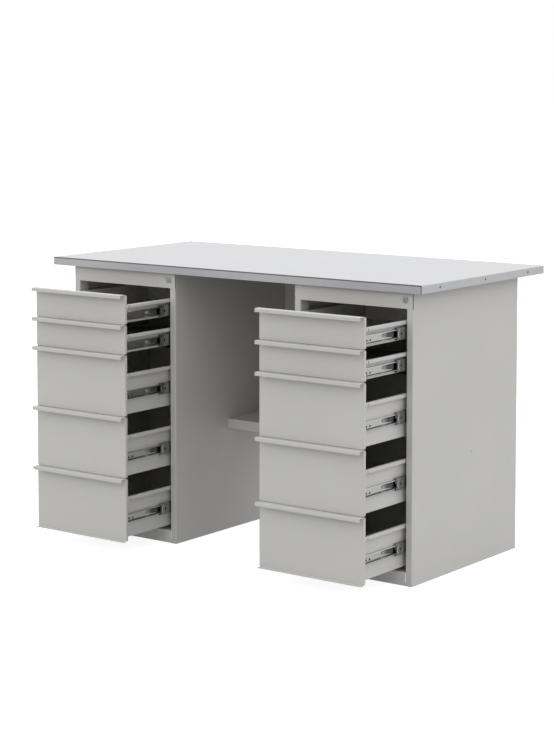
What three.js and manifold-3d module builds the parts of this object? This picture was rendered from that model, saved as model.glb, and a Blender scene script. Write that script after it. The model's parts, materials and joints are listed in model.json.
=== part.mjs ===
// A workbench on two drawer pedestals: a steel-clad top, ten folded-sheet drawers on
// three-section ball-bearing slides, a shelf and a back panel in the knee space, and one lock in
// each pedestal that bolts all of its drawers. Millimetres, +Z up, the front towards -Y.
// The drawers stand part open. The origin is on the floor, under the middle of the whole bench.

import * as THREE from 'three';
import { mergeVertices } from 'three/addons/utils/BufferGeometryUtils.js';
import Module from 'manifold-3d';

const wasm = await Module();
wasm.setup();

// Worktop: a board clad with a zinc-coated sheet
const topWidth = 1400;
const topDepth = 700;
const topHeight = 870;
const boardThickness = 24;
const skinSheet = 1;
const overhangLeft = 79;
const overhangRight = 36;

// Pedestals: folded steel sheet
const pedestalWidth = 415;
const pedestalDepth = 588;
const frontSetback = 15;
const sheet = 1.2;
const bendRadius = 1.8;
const postWidth = 21.8;
const frontReturn = 40;
const rearReturn = 90;
const railHeight = 46;
const plinthHeight = 40;
const footReturn = 25;
const backFlange = 20;

// Knee space
const shelfHeight = 357;
const shelfLip = 32;
const shelfHem = 12;
const shelfSetback = 263;
const kneeBackSetback = 21;
const kneeBackOverlap = 27;

// Drawers: two low ones above three deep ones in each pedestal
const lowDrawers = 2;
const deepDrawers = 3;
const lowPitch = 91;
const lowHeadroom = 36;
const deepHeadroom = 63.5;
const openAtRest = 207;
const stackTopGap = 2;
const stackBottomGap = 9.5;
const frontGap = 3;
const frontFootGap = 2;
const frontSideGap = 3.7;
const frontSheet = 1.2;
const frontBend = 1.2;
const ledgeDepth = 21;
const lipHeight = 11;
const frontReturnUnder = 9;
const frontReturnSide = 9;
const kickFlange = 12;
const frontCornerWidth = 5;
const frontCornerHeight = 7;
const traySheet = 1;
const trayBend = 1;
const trayRise = 4.5;
const trayTail = 20;
const trayWallDrop = 3;
const hemWidth = 9.8;
const hemLip = 10;

// Slides: a cabinet member, a middle member and a drawer member, nested, with ball cages between
const slideThickness = 12.7;
const slideSetback = 22;
const slideRearSpace = 66;
const slideSheet = 1.2;
const slideBend = 0.4;
const slideLip = 2.4;
const cabinetMemberHeight = 45.7;
const middleMemberHeight = 35.4;
const drawerMemberHeight = 26.5;
const middleSetback = 36.5;
const drawerMemberSetback = 0.4;
const slideDrop = 3;
const memberGap = 1.1;
const memberReach = 9.5;
const cageWidth = 3;
const cageMargin = 6;
const slideEndGap = 0.5;

// Lock: a cylinder in the top rail whose eccentric pin lifts a bar with one tab per drawer
const lockInset = 27;
const lockDrop = 20.5;
const lockBezel = 19;
const lockBezelDepth = 2.5;
const lockBarrel = 16;
const lockBarrelLength = 15;
const lockNut = 21;
const lockNutDepth = 3.5;
const plugDiameter = 11;
const plugRecess = 0.6;
const plugDiscDepth = 2;
const plugDiscRim = 2;
const keySlotWidth = 1.6;
const keySlotHeight = 7;
const keySlotDepth = 4;
const pinDiameter = 3.5;
const barLift = 7;
const barWidth = 10;
const barThickness = 3;
const barTail = 12;
const barHeadMargin = 4;
const tabHeight = 4;
const tabReach = 5.5;
const tabNotchHeight = 7;

// Fits
const seat = 0.2;
const running = 0.25;
const slotClearance = 0.5;
const barClearance = 1;
const hemClearance = 1.15;
const raceClearance = 0.3;
const railSeam = 0.8;
const weld = 0.3;
const cutMargin = 2;
const bendSteps = 2;
const slideBendSteps = 1;
const roundSteps = 18;
const mergeTolerance = 1e-4;

// Levels and places that follow from the sizes above
const frontPlane = frontSetback;
const backPlane = frontSetback + pedestalDepth;
const pedestalTop = topHeight - skinSheet - boardThickness - seat;
const sidePanelTop = pedestalTop - sheet - seat;
const railBottom = pedestalTop - railHeight;
const half = pedestalWidth / 2;
const openingHalf = half - postWidth;
const trayHalf = openingHalf - slideThickness;
const slideLength = pedestalDepth - slideSetback - slideRearSpace;
const cabinetMemberFront = frontPlane + slideSetback;
const middleMemberFront = cabinetMemberFront + middleSetback;
const middleMemberLength = slideLength - middleSetback - slideEndGap;
const trayFront = frontPlane + frontReturnSide + seat;
const trayDepth = slideLength + trayTail;
const drawerMemberFront = trayFront + drawerMemberSetback;
const stackTop = railBottom - stackTopGap;
const stackBottom = plinthHeight + stackBottomGap;
const deepPitch = (stackTop - stackBottom - lowDrawers * lowPitch) / deepDrawers;
const pedestalCentres = {
  left: -topWidth / 2 + overhangLeft + half,
  right: topWidth / 2 - overhangRight - half,
};
const kneeLeft = pedestalCentres.left + half + seat;
const kneeRight = pedestalCentres.right - half - seat;
const kneeBackPlane = backPlane - kneeBackSetback;
const lockX = half - lockInset;
const lockZ = pedestalTop - lockDrop;
const pinRadius = barLift / 2 / Math.sin(Math.PI / 4);
const barPlane = frontPlane + lockBarrelLength + running + plugDiscDepth + barClearance;
const frontmost = frontPlane - openAtRest - ledgeDepth;
const originY = (frontmost + topDepth) / 2;

// The drawers of one pedestal, from the top: each has a cell, a front, a tray and a slide height
function drawerCells() {
  const cells = [];
  let cellTop = stackTop;
  for (let i = 0; i < lowDrawers + deepDrawers; i += 1) {
    const low = i < lowDrawers;
    const last = i === lowDrawers + deepDrawers - 1;
    const cellBottom = cellTop - (low ? lowPitch : deepPitch);
    const trayHeight = (low ? lowPitch - lowHeadroom : deepPitch - deepHeadroom);
    const trayBottom = cellBottom + trayRise;
    const belowHem = trayHeight - hemLip - hemClearance - cabinetMemberHeight / 2;
    cells.push({
      number: i + 1,
      last,
      frontTop: i === 0 ? cellTop : cellTop - frontGap / 2,
      frontBottom: last ? plinthHeight + frontFootGap : cellBottom + frontGap / 2,
      trayBottom,
      trayHeight,
      slideZ: trayBottom + Math.min(trayHeight / 2 - slideDrop, belowHem),
    });
    cellTop = cellBottom;
  }
  return cells;
}

const cells = drawerCells();
const hemBottom = (cell) => cell.trayBottom + cell.trayHeight - hemLip;
const tabTop = (cell) => hemBottom(cell) - barClearance;

// Finishes
const finish = (color, roughness, metalness) => new THREE.MeshStandardMaterial({ color, roughness, metalness });
const paint = () => finish(0xb7b6b2, 0.5, 0.1);
const zinc = () => finish(0xdfe2e4, 0.35, 0.8);
const brightSteel = () => finish(0xc9cbcd, 0.25, 1);
const lockMetal = () => finish(0x77777a, 0.35, 0.9);
const boardCore = () => finish(0xb08d63, 0.8, 0);

// Section of a folded sheet: a path along the sheet's middle, with a round bend at every corner
function foldedShape(path, thickness, insideRadius, steps = bendSteps) {
  const points = path.map(([a, b]) => new THREE.Vector2(a, b));
  const left = [];
  const right = [];
  points.forEach((corner, i) => {
    const before = points[i - 1];
    const after = points[i + 1];
    const along = (before ? corner.clone().sub(before) : after.clone().sub(corner)).normalize();
    const across = new THREE.Vector2(-along.y, along.x);
    if (!before || !after) {
      left.push(corner.clone().addScaledVector(across, thickness / 2));
      right.push(corner.clone().addScaledVector(across, -thickness / 2));
      return;
    }
    const next = after.clone().sub(corner).normalize();
    const turn = Math.atan2(along.cross(next), along.dot(next));
    const middleRadius = insideRadius + thickness / 2;
    const start = corner.clone().addScaledVector(along, -middleRadius * Math.tan(Math.abs(turn) / 2));
    const toCentre = across.multiplyScalar(Math.sign(turn));
    const centre = start.clone().addScaledVector(toCentre, middleRadius);
    for (let k = 0; k <= steps; k += 1) {
      const spoke = toCentre.clone().negate().rotateAround(new THREE.Vector2(), (turn * k) / steps);
      const inside = centre.clone().addScaledVector(spoke, insideRadius);
      const outside = centre.clone().addScaledVector(spoke, insideRadius + thickness);
      left.push(turn > 0 ? inside : outside);
      right.push(turn > 0 ? outside : inside);
    }
  });
  return new THREE.Shape([...left, ...right.reverse()]);
}

function outline(path) {
  return new THREE.Shape(path.map(([a, b]) => new THREE.Vector2(a, b)));
}

function sweep(shape, depth, placement) {
  const geometry = new THREE.ExtrudeGeometry(shape, { depth, bevelEnabled: false, curveSegments: roundSteps });
  return geometry.applyMatrix4(placement);
}

// A plan section in x and y, swept up from z
function sweepUp(shape, z, height) {
  return sweep(shape, height, new THREE.Matrix4().makeTranslation(0, 0, z));
}

// A side section in y and z, swept from x towards +X
function sweepAcross(shape, x, width) {
  const axes = [new THREE.Vector3(0, 1, 0), new THREE.Vector3(0, 0, 1), new THREE.Vector3(1, 0, 0)];
  return sweep(shape, width, new THREE.Matrix4().makeBasis(...axes).setPosition(x, 0, 0));
}

// A front section in x and z, swept from y towards the back
function sweepBack(shape, y, depth) {
  const axes = [new THREE.Vector3(1, 0, 0), new THREE.Vector3(0, 0, 1), new THREE.Vector3(0, -1, 0)];
  return sweep(shape, depth, new THREE.Matrix4().makeBasis(...axes).setPosition(0, y + depth, 0));
}

function block(x0, x1, y0, y1, z0, z1) {
  const geometry = new THREE.BoxGeometry(x1 - x0, y1 - y0, z1 - z0);
  return geometry.translate((x0 + x1) / 2, (y0 + y1) / 2, (z0 + z1) / 2);
}

// A profile of [radius, y] points turned round an axis along Y through x and z
function turned(profile, x, z) {
  const points = profile.map(([radius, y]) => new THREE.Vector2(radius, y));
  return new THREE.LatheGeometry(points, roundSteps).translate(x, 0, 0).translate(0, 0, z);
}

function toManifold(geometry) {
  const bare = geometry.clone();
  bare.deleteAttribute('normal');
  bare.deleteAttribute('uv');
  const merged = mergeVertices(bare, mergeTolerance);
  return new wasm.Manifold(new wasm.Mesh({
    numProp: 3,
    vertProperties: new Float32Array(merged.attributes.position.array),
    triVerts: new Uint32Array(merged.index.array),
  }));
}

function toGeometry(manifold) {
  const mesh = manifold.getMesh();
  const geometry = new THREE.BufferGeometry();
  geometry.setAttribute('position', new THREE.BufferAttribute(new Float32Array(mesh.vertProperties), 3));
  geometry.setIndex(new THREE.BufferAttribute(new Uint32Array(mesh.triVerts), 1));
  geometry.computeVertexNormals();
  return geometry;
}

function join(...geometries) {
  return toGeometry(geometries.map(toManifold).reduce((whole, piece) => whole.add(piece)));
}

function cut(geometry, ...tools) {
  return toGeometry(tools.map(toManifold).reduce((whole, tool) => whole.subtract(tool), toManifold(geometry)));
}

function addPiece(group, name, geometry, material) {
  const mesh = new THREE.Mesh(geometry, material);
  mesh.name = name;
  group.add(mesh);
}

// Slide members in section: x runs from the tray wall towards the cabinet on the given side,
// z from the slide's centre line
function channelShape(side, webX, lipX, slideZ, height) {
  const wall = side * webX;
  const edge = side * lipX;
  const flange = (height - slideSheet) / 2;
  const lip = height / 2 - slideLip;
  return foldedShape([
    [edge, slideZ + lip],
    [edge, slideZ + flange],
    [wall, slideZ + flange],
    [wall, slideZ - flange],
    [edge, slideZ - flange],
    [edge, slideZ - lip],
  ], slideSheet, slideBend, slideBendSteps);
}

function cabinetMember(side, slideZ) {
  const web = openingHalf - slideSheet / 2;
  const shape = channelShape(side, web + weld, web - memberReach + slideSheet, slideZ, cabinetMemberHeight);
  return sweepBack(shape, cabinetMemberFront, slideLength);
}

function drawerMember(side, slideZ) {
  const web = trayHalf + slideSheet / 2;
  const lip = openingHalf - slideSheet - memberGap - slideSheet - memberGap / 2 - slideSheet / 2;
  const shape = channelShape(side, web - weld, lip, slideZ, drawerMemberHeight);
  return sweepBack(shape, drawerMemberFront, slideLength);
}

// The middle member carries its ball cages: the outer pair on its rear half, which stays in the
// cabinet member, and the inner pair on its front half, which stays round the drawer member
function middleMember(side, slideZ) {
  const web = openingHalf - slideSheet - memberGap - slideSheet / 2;
  const lip = trayHalf + slideSheet + memberGap / 2 + slideSheet / 2;
  const shape = channelShape(side, web, lip, slideZ, middleMemberHeight);
  const cageX = (web + lip) / 2;
  const outerTop = cabinetMemberHeight / 2 - slideSheet - raceClearance;
  const outerStart = slideLength / 2 - middleSetback + cageMargin;
  const innerLow = drawerMemberHeight / 2 + raceClearance;
  const innerEnd = slideLength / 2 - middleMemberFront + drawerMemberFront - cageMargin;
  const middleFlange = middleMemberHeight / 2;
  const cages = [];
  for (const up of [-1, 1]) {
    const x = [side * cageX - cageWidth / 2, side * cageX + cageWidth / 2];
    const outerZ = [up * (middleFlange - weld), up * outerTop].sort((a, b) => a - b);
    const innerZ = [up * (middleFlange - slideSheet + weld), up * innerLow].sort((a, b) => a - b);
    const outerY = [middleMemberFront + outerStart, middleMemberFront + middleMemberLength - cageMargin];
    const innerY = [middleMemberFront + cageMargin, middleMemberFront + innerEnd];
    cages.push(block(...x, ...outerY, slideZ + outerZ[0], slideZ + outerZ[1]));
    cages.push(block(...x, ...innerY, slideZ + innerZ[0], slideZ + innerZ[1]));
  }
  return join(sweepBack(shape, middleMemberFront, middleMemberLength), ...cages);
}

// Drawer front: the panel, a ledge and lip to pull it by, and stiffening returns at the sides and
// below. The lowest front has a kick flange below instead, which points forward.
function drawerFront(cell) {
  const panel = frontPlane + frontSheet / 2;
  const low = cell.frontBottom + frontSheet / 2;
  const high = cell.frontTop - frontSheet / 2;
  const ledge = frontPlane - ledgeDepth + frontSheet / 2;
  const under = cell.last ? frontPlane - kickFlange : frontPlane + frontReturnUnder;
  const shape = foldedShape([
    [under, low],
    [panel, low],
    [panel, high],
    [ledge, high],
    [ledge, cell.frontTop - lipHeight],
  ], frontSheet, frontBend);
  const width = 2 * (openingHalf - frontSideGap);
  const folded = sweepAcross(shape, -width / 2, width);
  const corners = [-1, 1].map((side) => sweepBack(outline([
    [side * (width / 2 - frontCornerWidth), cell.frontBottom - cutMargin],
    [side * (width / 2 - frontCornerWidth), cell.frontBottom],
    [side * (width / 2), cell.frontBottom + frontCornerHeight],
    [side * (width / 2 + cutMargin), cell.frontBottom + frontCornerHeight],
    [side * (width / 2 + cutMargin), cell.frontBottom - cutMargin],
  ]), frontPlane - ledgeDepth, 2 * ledgeDepth));
  const flangeTop = cell.frontTop - frontSheet - 2 * frontBend;
  const flanges = [-1, 1].map((side) => {
    const x = [side * (width / 2), side * (width / 2 - frontSheet)].sort((a, b) => a - b);
    const y = [frontPlane + frontSheet / 2, frontPlane + frontReturnSide];
    return block(...x, ...y, cell.frontBottom + frontCornerHeight, flangeTop);
  });
  return join(cut(folded, ...corners), ...flanges);
}

// Drawer tray: floor, sides and rolled-out hems folded from one sheet, with end walls welded in
// and a slide's drawer member on each side. The lock bar's tab rises into a notch in the right hem,
// whose lip is lower towards the back so that the tab also clears a drawer that is drawn.
function drawerTray(cell) {
  const low = cell.trayBottom;
  const high = low + cell.trayHeight;
  const wall = trayHalf - traySheet / 2;
  const hem = trayHalf + hemWidth - traySheet / 2;
  const halfPath = [
    [hem, high - hemLip],
    [hem, high - traySheet / 2],
    [wall, high - traySheet / 2],
    [wall, low + traySheet / 2],
  ];
  const mirrored = halfPath.map(([x, z]) => [-x, z]).reverse();
  const folded = sweepBack(foldedShape([...halfPath, ...mirrored], traySheet, trayBend), trayFront, trayDepth);
  const endWall = (y) => block(-wall, wall, y, y + traySheet, low + traySheet / 2, high - trayWallDrop);
  const ends = [endWall(trayFront), endWall(trayFront + trayDepth - traySheet)];
  const members = [-1, 1].map((side) => drawerMember(side, cell.slideZ));
  const notchX = [hem - traySheet, hem + traySheet];
  const notchZ = [high - hemLip - cutMargin, high - hemLip + tabNotchHeight];
  const notch = block(...notchX, barPlane - barClearance, barPlane + barThickness + barClearance, ...notchZ);
  const rearLip = block(
    ...notchX,
    barPlane + openAtRest - barClearance,
    trayFront + trayDepth + cutMargin,
    ...notchZ,
  );
  return join(cut(folded, notch, rearLip), ...ends, ...members);
}

// Side panel: one sheet with a post folded at each end, notched for the top rail, with the
// slides' cabinet members on its posts. The right one has slots for the lock bar's tabs.
function sidePanel(side) {
  const post = side * (openingHalf + sheet / 2);
  const skin = side * (half - sheet / 2);
  const shape = foldedShape([
    [post, frontPlane + frontReturn],
    [post, frontPlane + sheet / 2],
    [skin, frontPlane + sheet / 2],
    [skin, backPlane - sheet / 2],
    [post, backPlane - sheet / 2],
    [post, backPlane - rearReturn],
  ], sheet, bendRadius);
  const inner = side * (openingHalf - cutMargin);
  const outer = side * (half - sheet);
  const notchX = [Math.min(inner, outer), Math.max(inner, outer)];
  const notchY = [frontPlane - cutMargin, frontPlane + frontReturn + cutMargin];
  const notch = block(...notchX, ...notchY, railBottom - seat, pedestalTop);
  const tools = side > 0 ? [notch, ...cells.map(tabSlot)] : [notch];
  const folded = cut(sweepUp(shape, 0, sidePanelTop), ...tools);
  return join(folded, ...cells.map((cell) => cabinetMember(side, cell.slideZ)));
}

function tabSlot(cell) {
  const low = tabTop(cell) - tabHeight - slotClearance;
  const high = tabTop(cell) + barLift + slotClearance;
  const y = [barPlane - slotClearance, barPlane + barThickness + slotClearance];
  return block(openingHalf - cutMargin, openingHalf + sheet + cutMargin, ...y, low, high);
}

// Floor pan: the plinth, the floor and a rear apron, with returns that stand on the ground
function floorPan() {
  const front = frontPlane + sheet / 2;
  const rear = backPlane - sheet / 2;
  const shape = foldedShape([
    [frontPlane + footReturn, sheet / 2],
    [front, sheet / 2],
    [front, plinthHeight - sheet / 2],
    [rear, plinthHeight - sheet / 2],
    [rear, sheet / 2],
    [backPlane - footReturn, sheet / 2],
  ], sheet, bendRadius);
  const width = 2 * (openingHalf - seat);
  const full = half - sheet - seat;
  const y = [frontPlane + frontReturn + seat, backPlane - rearReturn - seat];
  const wings = block(-full, full, ...y, plinthHeight - sheet, plinthHeight);
  return join(sweepAcross(shape, -width / 2, width), wings);
}

// Top cover: the plate under the worktop, folded down in front as the top rail, which ends in an
// open seam beside each side panel
function topCover() {
  const front = frontPlane + sheet / 2;
  const shape = foldedShape([
    [front, railBottom],
    [front, pedestalTop - sheet / 2],
    [backPlane, pedestalTop - sheet / 2],
  ], sheet, bendRadius);
  const folded = sweepAcross(shape, -half, pedestalWidth);
  const seamX = half - sheet - railSeam;
  const seamY = [frontPlane - cutMargin, frontPlane + 2 * (sheet + bendRadius)];
  const seamZ = [railBottom - cutMargin, sidePanelTop + seat];
  const seams = [
    block(seamX, half + cutMargin, ...seamY, ...seamZ),
    block(-half - cutMargin, -seamX, ...seamY, ...seamZ),
  ];
  const hole = turned([
    [0, frontPlane - cutMargin],
    [lockBarrel / 2 + seat, frontPlane - cutMargin],
    [lockBarrel / 2 + seat, frontPlane + sheet + cutMargin],
    [0, frontPlane + sheet + cutMargin],
  ], lockX, lockZ);
  return cut(folded, ...seams, hole);
}

// Back panel: a shallow pan between the rear posts
function backPanel() {
  const edge = openingHalf - seat - sheet / 2;
  const shape = foldedShape([
    [-edge, backPlane - backFlange],
    [-edge, backPlane - sheet / 2],
    [edge, backPlane - sheet / 2],
    [edge, backPlane - backFlange],
  ], sheet, bendRadius);
  return sweepUp(shape, plinthHeight + seat, sidePanelTop - plinthHeight - seat);
}

// Lock housing: bezel, barrel and nut round a bore for the plug
function lockHousing() {
  const bore = plugDiameter / 2 + running;
  const nutFront = frontPlane + sheet + seat;
  const rear = frontPlane + lockBarrelLength;
  return turned([
    [bore, frontPlane - lockBezelDepth],
    [lockBezel / 2 - plugRecess, frontPlane - lockBezelDepth],
    [lockBezel / 2, frontPlane - lockBezelDepth + plugRecess],
    [lockBezel / 2, frontPlane - seat],
    [lockBarrel / 2, frontPlane - seat],
    [lockBarrel / 2, nutFront],
    [lockNut / 2, nutFront],
    [lockNut / 2, nutFront + lockNutDepth],
    [lockBarrel / 2, nutFront + lockNutDepth],
    [lockBarrel / 2, rear],
    [bore, rear],
    [bore, frontPlane - lockBezelDepth],
  ], lockX, lockZ);
}

// Lock plug: a key slot in front and a disc with the eccentric pin behind, turned to open
function lockPlug() {
  const face = frontPlane - lockBezelDepth + plugRecess;
  const discFront = frontPlane + lockBarrelLength + running;
  const discRear = discFront + plugDiscDepth;
  const discRadius = pinRadius + pinDiameter / 2 + plugDiscRim;
  const body = turned([
    [0, face],
    [plugDiameter / 2, face],
    [plugDiameter / 2, discFront],
    [discRadius, discFront],
    [discRadius, discRear],
    [0, discRear],
  ], lockX, lockZ);
  const pinX = lockX - barLift / 2;
  const pinZ = lockZ - barLift / 2;
  const pin = turned([
    [0, discRear - weld],
    [pinDiameter / 2, discRear - weld],
    [pinDiameter / 2, barPlane + barThickness + barClearance],
    [0, barPlane + barThickness + barClearance],
  ], pinX, pinZ);
  const slotX = [lockX - keySlotWidth / 2, lockX + keySlotWidth / 2];
  const slotZ = [lockZ - keySlotHeight / 2, lockZ + keySlotHeight / 2];
  const keySlot = block(...slotX, face - cutMargin, face + keySlotDepth, ...slotZ);
  return cut(join(body, pin), keySlot);
}

// Lock bar: a flat strip in the right post, with a tab for each drawer and a head that the
// plug's pin lifts by a level slot
function lockBar() {
  const near = openingHalf + sheet + raceClearance;
  const far = near + barWidth;
  const tabEnd = openingHalf - tabReach;
  const slotHalf = pinDiameter / 2 + slotClearance;
  const pinZ = lockZ - barLift / 2;
  const slotX = [lockX - pinRadius - slotHalf, lockX - barLift / 2 + slotHalf];
  const headZ = [pinZ - slotHalf - barHeadMargin, pinZ + slotHalf + barHeadMargin];
  const foot = tabTop(cells.at(-1)) - tabHeight - barTail;
  const path = [[near, foot]];
  for (const cell of cells.toReversed()) {
    const high = tabTop(cell);
    path.push([near, high - tabHeight], [tabEnd, high - tabHeight], [tabEnd, high], [near, high]);
  }
  path.push([near, headZ[0]], [slotX[0] - barHeadMargin, headZ[0]]);
  path.push([slotX[0] - barHeadMargin, headZ[1]], [far, headZ[1]], [far, foot]);
  const shape = outline(path);
  shape.holes.push(outline([
    [slotX[0], pinZ - slotHalf],
    [slotX[1], pinZ - slotHalf],
    [slotX[1], pinZ + slotHalf],
    [slotX[0], pinZ + slotHalf],
  ]));
  return sweepBack(shape, barPlane, barThickness);
}

// Worktop board, and the sheet that covers its top and edges
function worktopBoard() {
  const side = topWidth / 2 - skinSheet - seat;
  const y = [skinSheet + seat, topDepth - skinSheet - seat];
  const high = topHeight - skinSheet - seat;
  return block(-side, side, ...y, high - boardThickness + seat, high);
}

function worktopSkin() {
  const low = topHeight - skinSheet - boardThickness;
  const inner = topWidth / 2 - skinSheet;
  const shell = block(-topWidth / 2, topWidth / 2, 0, topDepth, low, topHeight);
  return cut(shell, block(-inner, inner, skinSheet, topDepth - skinSheet, low - cutMargin, topHeight - skinSheet));
}

// Knee shelf: a tray turned upside down, with a hemmed front lip
function kneeShelf() {
  const front = frontPlane + shelfSetback + sheet / 2;
  const rear = kneeBackPlane - seat - sheet / 2;
  const low = shelfHeight - shelfLip;
  const shape = foldedShape([
    [front + shelfHem, low + sheet / 2],
    [front, low + sheet / 2],
    [front, shelfHeight - sheet / 2],
    [rear, shelfHeight - sheet / 2],
    [rear, low],
  ], sheet, bendRadius);
  return sweepAcross(shape, kneeLeft, kneeRight - kneeLeft);
}

// Knee back panel: a pan behind the shelf, from the shelf up to the worktop
function kneeBackPanel() {
  const face = kneeBackPlane + sheet / 2;
  const left = kneeLeft + sheet / 2;
  const right = kneeRight - sheet / 2;
  const shape = foldedShape([
    [left, face + backFlange],
    [left, face],
    [right, face],
    [right, face + backFlange],
  ], sheet, bendRadius);
  const low = shelfHeight - kneeBackOverlap;
  return sweepUp(shape, low, pedestalTop - low);
}

// One drawer, pushed in: its front and tray slide together, and the middle members half as far
function addDrawer(pedestal, name, cell) {
  const drawer = new THREE.Group();
  drawer.position.y = -openAtRest;
  addPiece(drawer, `${name}_drawer_${cell.number}_front`, drawerFront(cell), paint());
  addPiece(drawer, `${name}_drawer_${cell.number}_tray`, drawerTray(cell), paint());
  const slides = new THREE.Group();
  slides.position.y = -openAtRest / 2;
  addPiece(slides, `${name}_drawer_${cell.number}_slide_l`, middleMember(-1, cell.slideZ), brightSteel());
  addPiece(slides, `${name}_drawer_${cell.number}_slide_r`, middleMember(1, cell.slideZ), brightSteel());
  pedestal.add(drawer, slides);
}

function buildPedestal(name, centre) {
  const pedestal = new THREE.Group();
  pedestal.position.x = centre;
  addPiece(pedestal, `${name}_side_panel_l`, sidePanel(-1), paint());
  addPiece(pedestal, `${name}_side_panel_r`, sidePanel(1), paint());
  addPiece(pedestal, `${name}_floor_pan`, floorPan(), paint());
  addPiece(pedestal, `${name}_top_cover`, topCover(), paint());
  addPiece(pedestal, `${name}_back_panel`, backPanel(), paint());
  addPiece(pedestal, `${name}_lock_housing`, lockHousing(), lockMetal());
  addPiece(pedestal, `${name}_lock_plug`, lockPlug(), lockMetal());
  addPiece(pedestal, `${name}_lock_bar`, lockBar(), brightSteel());
  cells.forEach((cell) => addDrawer(pedestal, name, cell));
  return pedestal;
}

const bench = new THREE.Group();
bench.position.y = -originY;
addPiece(bench, 'worktop_board', worktopBoard(), boardCore());
addPiece(bench, 'worktop_skin', worktopSkin(), zinc());
addPiece(bench, 'knee_shelf', kneeShelf(), paint());
addPiece(bench, 'knee_back_panel', kneeBackPanel(), paint());
for (const [name, centre] of Object.entries(pedestalCentres)) {
  bench.add(buildPedestal(name, centre));
}

export default bench;
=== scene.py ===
"""A workbench on two drawer pedestals, dressed in folded sheet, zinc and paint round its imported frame."""

import json
import math

import bmesh
import bpy
from mathutils import Matrix, Vector


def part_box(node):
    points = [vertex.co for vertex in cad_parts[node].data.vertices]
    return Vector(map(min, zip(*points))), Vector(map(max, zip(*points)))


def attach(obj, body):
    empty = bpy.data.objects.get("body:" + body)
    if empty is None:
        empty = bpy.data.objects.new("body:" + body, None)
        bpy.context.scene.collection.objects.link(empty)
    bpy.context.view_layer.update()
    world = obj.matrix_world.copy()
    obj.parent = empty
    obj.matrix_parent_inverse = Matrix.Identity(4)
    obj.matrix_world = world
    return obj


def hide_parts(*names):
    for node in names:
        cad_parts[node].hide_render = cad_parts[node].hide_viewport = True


bl_info = {
    "name": "Pedestal Workbench",
    "version": (1, 0, 0),
    "blender": (4, 5, 0),
    "location": "View3D > Sidebar > Workbench",
    "description": "Builds a sheet-steel workbench with ten drawers on its packed frame",
    "category": "Add Mesh",
}

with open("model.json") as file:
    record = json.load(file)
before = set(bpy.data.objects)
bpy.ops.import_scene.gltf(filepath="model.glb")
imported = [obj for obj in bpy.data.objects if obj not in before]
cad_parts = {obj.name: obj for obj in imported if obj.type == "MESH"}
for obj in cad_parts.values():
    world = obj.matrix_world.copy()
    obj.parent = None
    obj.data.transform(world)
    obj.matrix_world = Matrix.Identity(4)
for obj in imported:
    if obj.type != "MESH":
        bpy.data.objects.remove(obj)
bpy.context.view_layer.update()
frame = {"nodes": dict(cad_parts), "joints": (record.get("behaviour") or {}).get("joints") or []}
PEDESTALS = ("left", "right")
DRAWERS = (1, 2, 3, 4, 5)
FIRST_DRAWER, LAST_DRAWER = DRAWERS[0], DRAWERS[-1]
HANDS = (("l", -1), ("r", 1))
MILLIMETRE = 0.001
# Clearance between pieces that rest on each other
SEAT = 0.0002
# Tolerances for finding edges by their place, and for cutting meshes
NEAR = 1e-6
FINE = 1e-7
BEND_STEPS = 5
FOLD_ANGLE = 0.2
SHARP = math.radians(35)
ALONG_X = Vector((1, 0, 0))
ALONG_Y = Vector((0, 1, 0))
# Release lever behind the tray's front
LEVER_PLACE = 0.102
# Hole behind the middle member's front, and end stop behind its bumper
HOLE_PLACE = 0.0225
STOP_SHIFT = 0.0042


def length(name, description, millimetres):
    """A size property, given in millimetres and kept in metres."""
    return bpy.props.FloatProperty(
        name=name,
        description=description,
        default=millimetres * MILLIMETRE,
        min=0.0,
        precision=4,
        unit="LENGTH",
    )


def tint(name, description, colour):
    """A colour property."""
    return bpy.props.FloatVectorProperty(
        name=name,
        description=description,
        default=colour,
        size=3,
        min=0.0,
        max=1.0,
        subtype="COLOR",
    )


def strength(name, description, value):
    """A light's strength."""
    return bpy.props.FloatProperty(name=name, description=description, default=value, min=0.0)


class WorktopSizes(bpy.types.PropertyGroup):
    """Sizes of the worktop's cladding and its screws."""

    sheet: length("Sheet", "Thickness of the zinc-coated sheet", 1.0)
    bend: length("Bend", "Radius of the folded edges, at the sheet's middle", 1.7)
    screw_head: length("Screw head", "Diameter of the screws in the end skirts", 6.5)
    screw_rise: length("Screw rise", "How far a screw head stands out", 0.9)
    screw_inset: length("Screw inset", "Distance of the outer screws from the worktop's corners", 100.0)


class CarcassSizes(bpy.types.PropertyGroup):
    """Sizes of the pedestals' folded sheets and of the knee space."""

    sheet: length("Sheet", "Thickness of the painted sheet", 1.2)
    bend: length("Bend", "Radius of the folds, at the sheet's middle", 2.4)
    post: length("Post", "Width of the posts folded from the side panels", 21.8)
    front_return: length("Front return", "Depth of the front post", 40.0)
    rear_return: length("Rear return", "Depth of the rear post", 90.0)
    rail_seam: length("Rail seam", "Open seam at each end of the top rail", 0.35)
    foot: length("Foot return", "Width of the returns that stand on the floor", 25.0)
    back_flange: length("Back flange", "Depth of the back panels' side flanges", 20.0)
    shelf_hem: length("Shelf hem", "Return under the shelf's front lip", 12.0)
    plug_head: length("Plug", "Diameter of the caps in the side panels", 7.0)
    plug_depth: length("Plug depth", "Distance of the caps behind the front plane", 322.0)
    plug_height: length("Plug height", "Height of the caps above the floor", 343.0)


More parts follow.
